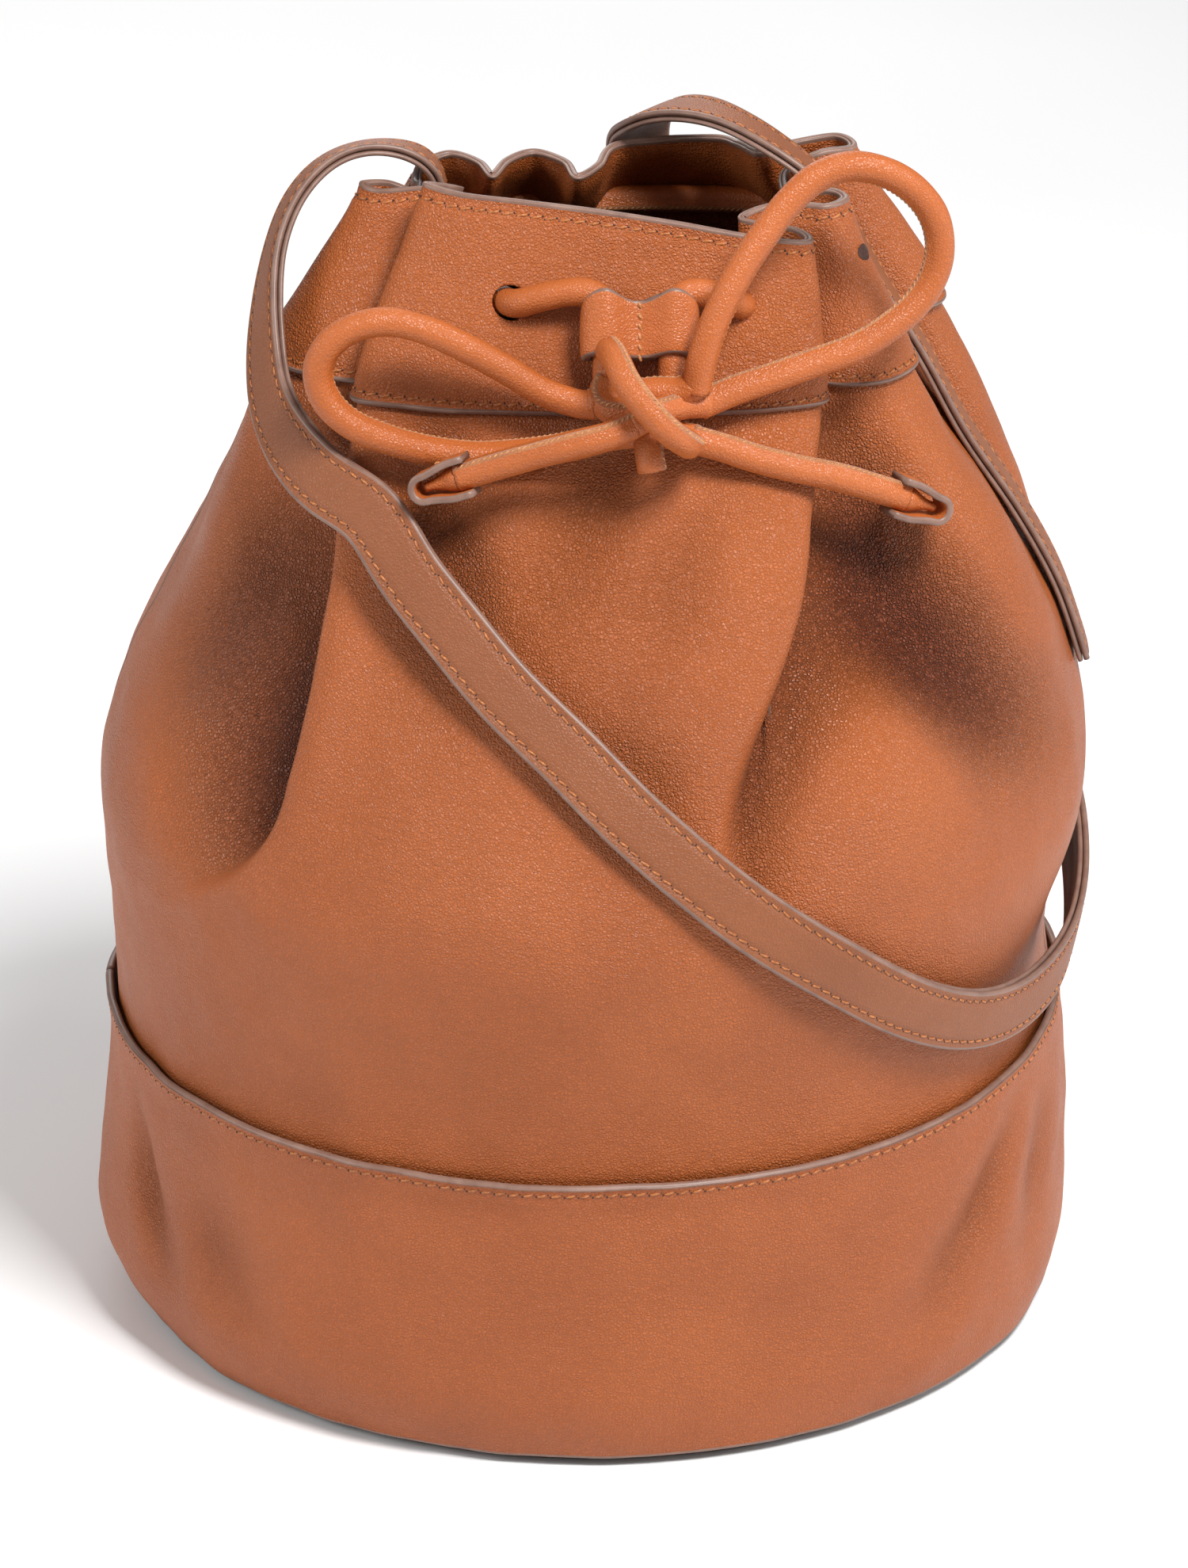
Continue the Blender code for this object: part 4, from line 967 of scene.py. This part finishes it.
def leather_cord(name, route, body, seam_side, nodes=()):
    """A round leather cord with a raised raw seam along it and the seam's own fine stitches."""
    length = np.linalg.norm(np.diff(curve_through(route, 200), axis=0), axis=1).sum()
    count = max(12, round(length / 0.0009))
    path = even(curve_through(route, 6 * count), count)
    along, seam_way = carried_side(path, seam_side)
    cross_way = np.cross(along, seam_way)
    around = 28
    radius = CORD_DIAMETER / 2
    uneven = np.array([noise.noise(Vector(p) * 160) for p in path])[:, None] * 0.00010
    points = []
    for k in range(around):
        turn = 2 * math.pi * k / around
        off_seam = min(k, around - k)
        lift = (0.00038, 0.00034, -0.00012)[off_seam] if off_seam < 3 else 0.0
        reach = radius + lift + uneven
        points.append(path + (seam_way * math.cos(turn) + cross_way * math.sin(turn)) * reach)
    points = np.stack(points, axis=1)
    marks = [1 if k in (0, around - 1) else 0 for k in range(around)] * (count - 1) + [1, 1]
    obj = mesh_object(name, points, tube_faces(count, around), marks, (CORD_TAN, RAW))
    finish_piece(obj, body, "tan_leather", *nodes)
    on_seam = path + seam_way * (radius + 0.00032)
    trim = slice(1, -1)
    stitches(name + "_seam", on_seam[trim], seam_way[trim], body, 0.00135, 0.00155, 0.00026, 38,
             CORD_THREAD)
    return obj, path, length


def cords():
    """The neck cord, the bow's loops and tails, and the tabs at the tails' ends."""
    leather_cord("neck_cord", VISIBLE_NECK_CORD, "bag", (0, -0.3, -1.0), ("drawcord",))
    for side, route, seam, body in (
            ("left", LOOP_LEFT, (0.0, 0.15, -1.0), "loop_left"),
            ("right", LOOP_RIGHT, (0.9, 0.2, -0.4), "loop_right")):
        name = "bow_loop_cord_" + side
        obj, path, length = leather_cord(name, route, body, seam, ("bow_loop_" + side,))
    for side, route, seam, body in (
            ("left", TAIL_LEFT, (0.1, -0.45, 1.0), "tail_left"),
            ("right", TAIL_RIGHT, (0.3, -0.25, 1.0), "tail_right")):
        name = "cord_tail_cord_" + side
        obj, path, length = leather_cord(name, route, body, seam, ("cord_tail_" + side,))
        tab = tip("tip_tab_" + side, route, body, "cord_tip_" + side)


KNOT_STRANDS = (
    # The strand that wraps over the front, then what runs under it, and the short hanging end.
    ("knot_wrap", ((0.0035, -0.0675, 0.2725), (0.0050, -0.0750, 0.2735), (0.0075, -0.0815, 0.2705),
                   (0.0120, -0.0850, 0.2655), (0.0165, -0.0850, 0.2605), (0.0205, -0.0815, 0.2560),
                   (0.0215, -0.0755, 0.2530), (0.0190, -0.0695, 0.2525)), (0.35, 0.0, 1.0)),
    ("knot_under_top", ((0.0260, -0.0680, 0.2600), (0.0200, -0.0705, 0.2605),
                        (0.0140, -0.0760, 0.2608), (0.0085, -0.0787, 0.2589)), (0.1, -0.4, 1.0)),
    ("knot_under_bottom", ((-0.0010, -0.0694, 0.2509), (0.0050, -0.0700, 0.2528),
                           (0.0120, -0.0712, 0.2538), (0.0185, -0.0708, 0.2532),
                           (0.0235, -0.0700, 0.2516)), (0.1, 0.2, 1.0)),
    ("knot_behind", ((-0.0010, -0.0688, 0.2600), (0.0060, -0.0690, 0.2612),
                     (0.0130, -0.0690, 0.2630), (0.0195, -0.0700, 0.2635),
                     (0.0232, -0.0705, 0.2655)), (0.1, 0.3, 1.0)),
    ("knot_feed", ((0.0030, -0.0646, 0.2640), (0.0020, -0.0675, 0.2615), (0.0035, -0.0715, 0.2600),
                   (0.0080, -0.0735, 0.2600), (0.0120, -0.0725, 0.2590)), (-0.6, -0.6, 0.5)),
    ("knot_stub", ((0.0125, -0.0715, 0.2585), (0.0122, -0.0755, 0.2555), (0.0125, -0.0780, 0.2520),
                   (0.0132, -0.0790, 0.2480)), (0.6, -0.7, 0.0)),
)


def knot():
    """The knot's strands; the first one stands in for the frame's block."""
    for index, (name, route, seam) in enumerate(KNOT_STRANDS):
        leather_cord(name, route, "bow", seam, ("bow_knot",) if index == 0 else ())


# ---------------------------------------------------------------- slider and tips

def slider():
    """Two leather tubes side by side, pinched and sewn together down the middle."""
    across = np.array((1.0, 0, 0))
    axis = np.array(SLIDER_AXIS)
    front = np.cross(axis, across)
    front /= np.linalg.norm(front)
    if front[1] > 0:
        front = -front
    centre = np.array(SLIDER_CENTRE)
    radius = SLIDER_THICKNESS / 2
    half_pitch = SLIDER_PITCH / 2
    right = []
    for i in range(25):
        turn = math.radians(-90 + 7.5 * i)
        right.append((half_pitch + 1.2 * radius * math.cos(turn), radius * math.sin(turn)))
    valley = []
    for i in range(1, 12):
        t = i / 12
        dip = 1 - 0.66 * math.sin(math.pi * t) ** 1.5
        valley.append((half_pitch * (1 - 2 * t), radius * dip))
    outline = np.array(right + valley + [(-x, y) for x, y in reversed(right)]
                       + [(-x, -y) for x, y in valley])
    rows = []
    half = SLIDER_LENGTH / 2
    edge = 0.0007
    steps = [(-half, -0.9 * edge, 1), (-half + 0.35 * edge, -0.3 * edge, 1), (-half + edge, 0, 0)]
    steps += [(t, 0.00025 * math.cos(t / half * 1.5), 0)
              for t in np.linspace(-half + 0.0016, half - 0.0016, 9)]
    steps += [(half - edge, 0, 1), (half - 0.35 * edge, -0.3 * edge, 1), (half, -0.9 * edge, 1)]
    middle = np.array([[half_pitch if x > 0 else -half_pitch, 0] for x, _ in outline])
    # The front wall stands higher than the back, and its lower lip is drawn up over each cord.
    front_rise, back_drop, lip_rise = 0.0046, 0.0012, 0.0020
    frontness = np.clip(outline[:, 1:] / radius, 0, 1)
    for along, grow, _ in steps:
        ring = middle + (outline - middle) * (1 + grow / radius)
        upper = smooth(-along / half)
        lower = smooth(along / half)
        reach = along - upper * (front_rise * frontness - back_drop) - lower * lip_rise * frontness
        rows.append(centre + ring[:, :1] * across + ring[:, 1:] * front + axis * reach)
    count = len(outline)
    faces = tube_faces(len(rows), count)
    marks = [step[2] for step in steps[:-1] for _ in range(count)] + [1, 1]
    obj = mesh_object("slider_leather", np.concatenate(rows), faces, marks, (CORD_TAN, PAINT))
    for x in (-half_pitch, half_pitch):
        reaches = np.linspace(-2 * half, 2 * half, 9)
        line = np.array([centre + across * x + axis * t for t in reaches])
        tube = tube_mesh(line, CORD_DIAMETER / 2 + 0.0006, 32, (0, 1, 0))
        bore = mesh_object("slider_bore", *tube)
        bore.data.materials.append(PAINT)
        apply_cut(obj, bore)
    finish_piece(obj, "slider_body", "tan_leather", "slider")
    seam = np.array([centre + axis * t + front * radius * 0.36
                     for t in np.linspace(-half + 0.0008, half - 0.0008, 12)])
    stitches("slider_stitches", seam, np.tile(front, (12, 1)), "slider_body", 0.0021, 0.0019,
             0.00040, 22, CORD_THREAD)


def tip(name, route, body, node):
    """A leather tab folded in a U round the cord's end, painted along its cut edge."""
    end = np.array(route[-1])
    along = end - np.array(route[-2])
    along /= np.linalg.norm(along)
    out = np.array((0, -1, 0.3))
    out = out - along * out.dot(along)
    out /= np.linalg.norm(out)
    across = np.cross(along, out)
    half_width = TIP_WIDTH / 2
    half_thick = TIP_THICKNESS / 2
    sheet = 0.0017
    # The U lies in the plane of along and across, and its painted edges face out and back.
    centre_line = []
    reach = half_width - sheet / 2
    start = -0.0030
    for t in np.linspace(start, TIP_LENGTH - half_width, 9):
        centre_line.append((t, reach - 0.0013 * float(smooth((t - 0.0005) / 0.0075))))
    bend = centre_line[-1][1]
    for turn in np.radians(np.arange(75, -76, -15)):
        centre_line.append((TIP_LENGTH - half_width + bend * 0.95 * math.cos(turn),
                            bend * math.sin(turn)))
    centre_line += [(x, -y) for x, y in reversed(centre_line[:9])]
    line = np.array(centre_line)
    forward = unit(np.gradient(line, axis=0))
    side = np.stack([-forward[:, 1], forward[:, 0]], axis=1)
    ring_shape = []
    for turn in np.radians(np.arange(-90, 91, 30)):
        ring_shape.append((0.5 * math.sin(turn), 1.0 + 0.13 * math.cos(turn)))
    ring_shape += [(-x, -y) for x, y in ring_shape]
    rows = []
    for (x, y), (sx, sy) in zip(line, side):
        ring = []
        for u, v in ring_shape:
            at = (x + sx * u * sheet, y + sy * u * sheet)
            height = v * (half_thick - 0.0007)
            ring.append(end + along * at[0] + across * at[1] + out * height)
        rows.append(ring)
    count = len(ring_shape)
    faces = tube_faces(len(rows), count)
    marks = [0 if k in (count // 2 - 1, count - 1) else 1 for k in range(count)] * (len(rows) - 1)
    obj = mesh_object(name, np.array(rows).reshape(-1, 3), faces, marks + [1, 1], (CORD_TAN, PAINT))
    finish_piece(obj, body, "painted_edge", node)
    # Inside the tab the cord is pared down to a thin tongue between the two arms.
    reaches = np.linspace(0.0001, TIP_LENGTH - half_width, 14)
    core_line = np.array([end + along * t for t in reaches])
    points, core_faces = tube_mesh(core_line, CORD_DIAMETER / 2 - 0.0002, 24, out)
    away = points - np.repeat(core_line, 24, axis=0)
    pared = np.repeat(1 - 0.62 * smooth(reaches / 0.0070), 24)[:, None]
    sunk = np.repeat(1 - 0.45 * smooth(reaches / 0.0045), 24)[:, None]
    sideways = (away @ across)[:, None] * across
    points = np.repeat(core_line, 24, axis=0) + sideways * pared + (away - sideways) * sunk
    core = mesh_object(name + "_core", points, core_faces, None, (CORD_TAN,))
    finish_piece(core, body, "tan_leather")
    hole = end + along * 0.0015 + across * (half_width - 0.0004)
    stitches(name + "_stitch", np.array([hole, hole + along * 0.0022]), np.array([across, across]),
             body, 0.0022, 0.0016, 0.00034, 0, CORD_THREAD)
    return [obj, core, name + "_stitch"]


# ---------------------------------------------------------------- strap

def on_leather(angle, z, lift, way):
    """A row of the strap's path that follows the skin at a stand-off."""
    here = skin([angle - 0.5, angle, angle + 0.5], [z - 0.004, z, z + 0.004])
    across = here[1, 2] - here[1, 0]
    out = unit(np.array((across[1], -across[0], 0.0)))
    higher = unit(here[2, 1] - here[0, 1])
    around = np.array((-out[1], out[0], 0.0))
    face = unit(np.cross(around, higher))
    if face.dot(out) < 0:
        face = -face
    return (*(here[1, 1] + face * lift), *(face * way))


def strap_path(count):
    """The strap's centre line and the way its face looks, at count places."""
    half = (STRAP_OUTER + STRAP_LINING) / 2
    inside = LEATHER + GAP + half + STRAP_EASE
    rows = [on_leather(a, z, -inside, -1) for a, z in STRAP_SEWN_INSIDE_LEFT]
    rows += [(*p, *unit(np.array(n))) for p, n in STRAP_LEFT_ARCH]
    rows += [on_leather(a, z, lift, 1) for a, z, lift in STRAP_FRONT]
    rows += [(*p, *unit(np.array(n))) for p, n in STRAP_RIGHT_ARCH]
    for a, z in reversed(STRAP_SEWN_RIGHT):
        over_collar = (LEATHER + GAP) * smooth((z - SEAM_HEIGHT + 0.016) / 0.008)
        rows.append(on_leather(a, z, GAP + half + STRAP_EASE + over_collar, 1))
    path = even(curve_through(rows, 40 * len(rows)), count)
    # Smooth the path lightly, so that the flat band carries no kinks.
    for _ in range(14):
        path[1:-1] = 0.25 * path[:-2] + 0.5 * path[1:-1] + 0.25 * path[2:]
    return path


def band_along(name, path, section_points, marks_of, looks, slot, nodes):
    """A closed cross-section swept along the strap's path."""
    centre = path[:, :3]
    along = unit(np.gradient(centre, axis=0))
    face = path[:, 3:] - along * (path[:, 3:] * along).sum(axis=1, keepdims=True)
    face = unit(face)
    across = np.cross(along, face)
    rows = np.stack([centre + across * u + face * v for u, v in section_points], axis=1)
    faces = tube_faces(len(path), len(section_points))
    marks = list(marks_of) * (len(path) - 1) + [len(looks) - 1] * 2
    obj = mesh_object(name, rows, faces, marks, looks)
    finish_piece(obj, "bag", slot, *nodes)
    return face, across


def strap():
    """The strap's two layers and its two rows of stitches."""
    path = strap_path(900)
    half = STRAP_WIDTH / 2
    seat = -(STRAP_OUTER + STRAP_LINING) / 2
    top = seat + STRAP_LINING + STRAP_OUTER
    joint = seat + STRAP_LINING
    row_at = half - 0.0024
    # Leather layer: crowned between its stitch rows, with a rolled painted edge.
    shape = []
    marks = []
    rounding = 0.0009
    for u in np.linspace(-half + rounding, half - rounding, 25):
        dip = 0.00030 * (math.exp(-((abs(u) - row_at) / 0.0007) ** 2))
        crown = 0.00022 * (1 - (u / half) ** 2)
        shape.append((u, top - 0.0002 + crown - dip))
        marks.append(0)
    marks[-1] = 1
    middle = (top + joint) / 2
    tall = (top - joint) / 2
    for turn in np.radians((60, 25, -10, -45, -80)):
        shape.append((half - rounding + rounding * math.cos(turn),
                      middle + (tall - 0.0001) * math.sin(turn)))
        marks.append(1)
    shape += [(-u, v) for u, v in reversed(shape[25:])]
    marks += [1] * 5
    marks[29] = 0
    band_along("strap_leather", path, shape, marks, (SMOOTH_TAN, PAINT), "tan_leather",
               ["strap_outer"])

    # Backing layer, suede side down, with the same rolled edge.
    low = seat
    high = joint - 0.00005
    shape = [(u, low + 0.00006 * math.cos(u * 900))
             for u in np.linspace(half - rounding, -half + rounding, 21)]
    marks = [0] * 20 + [1]
    middle = (high + low) / 2
    tall = (high - low) / 2
    for turn in np.radians((-120, -155, 170, 135, 100)):
        shape.append((-half + rounding + rounding * math.cos(turn), middle + tall * math.sin(turn)))
        marks.append(1)
    shape += [(-u, v) for u, v in reversed(shape[21:])]
    marks += [1] * 5
    face, across = band_along("strap_backing", path, shape, marks, (SUEDE, PAINT), "suede_side",
                              ["strap_lining"])
    trim = slice(3, -3)
    for side, sign in (("a", -1), ("b", 1)):
        line = path[:, :3] + across * sign * row_at + face * (top - 0.00032)
        stitches("strap_stitches_" + side, line[trim], face[trim], "bag", 0.0033, 0.0027, 0.00030,
                 10 * sign)


# ---------------------------------------------------------------- stage

def stage():
    """Floor, soft lights, world and camera."""
    mesh = bpy.data.meshes.new("floor")
    size = 6.0
    corners = [(-size, -size, 0), (size, -size, 0), (size, size, 0), (-size, size, 0)]
    mesh.from_pydata(corners, [], [(0, 1, 2, 3)])
    floor = bpy.data.objects.new("floor", mesh)
    floor.location.z = -0.0002
    bpy.context.scene.collection.objects.link(floor)
    made, tree, shader, place = shader_tree("floor", 0.75)
    tones = ramp(tree, noise_node(tree, place, 3, 2), ((0.3, grey(0.84)), (0.7, grey(0.88))))
    tree.links.new(tones, shader.inputs["Base Color"])
    shader.inputs["Specular IOR Level"].default_value = 0.1
    mesh.materials.append(made)

    world = bpy.data.worlds.new("studio")
    world.use_nodes = True
    sky = world.node_tree.nodes["Background"]
    sky.inputs["Color"].default_value = (1.0, 1.0, 1.0, 1)
    sky.inputs["Strength"].default_value = 0.30
    bpy.context.scene.world = world
    bpy.context.scene.view_settings.view_transform = "Standard"

    for name, place, aim, size, power in (
            ("key", (0.45, -0.70, 1.35), (0, 0, 0.15), 0.38, 26.0),
            ("left", (-1.20, -0.45, 0.75), (0, 0, 0.15), 0.60, 8.0),
            ("right", (1.25, -0.25, 0.60), (0, 0, 0.15), 0.60, 6.0),
            ("rim", (-0.2, 1.30, 0.85), (0, 0, 0.20), 0.80, 6.0)):
        light = bpy.data.lights.new(name, "AREA")
        light.shape = "SQUARE"
        light.size = size
        light.energy = power
        lamp = bpy.data.objects.new(name, light)
        lamp.location = place
        lamp.rotation_euler = (Vector(aim) - Vector(place)).to_track_quat("-Z", "Y").to_euler()
        bpy.context.scene.collection.objects.link(lamp)

    camera = bpy.data.cameras.new("camera")
    camera.sensor_fit = "VERTICAL"
    camera.sensor_height = SENSOR
    camera.lens = LENS
    viewer = bpy.data.objects.new("camera", camera)
    back = Vector((0, -math.cos(CAMERA_RISE), math.sin(CAMERA_RISE)))
    viewer.location = LOOK_AT + back * CAMERA_DISTANCE
    viewer.rotation_euler = (-back).to_track_quat("-Z", "Y").to_euler()
    bpy.context.scene.collection.objects.link(viewer)
    bpy.context.scene.camera = viewer


stage()
cords()
knot()
slider()
base()
panels()
back_eyelet()
strap()

bpy.context.view_layer.update()
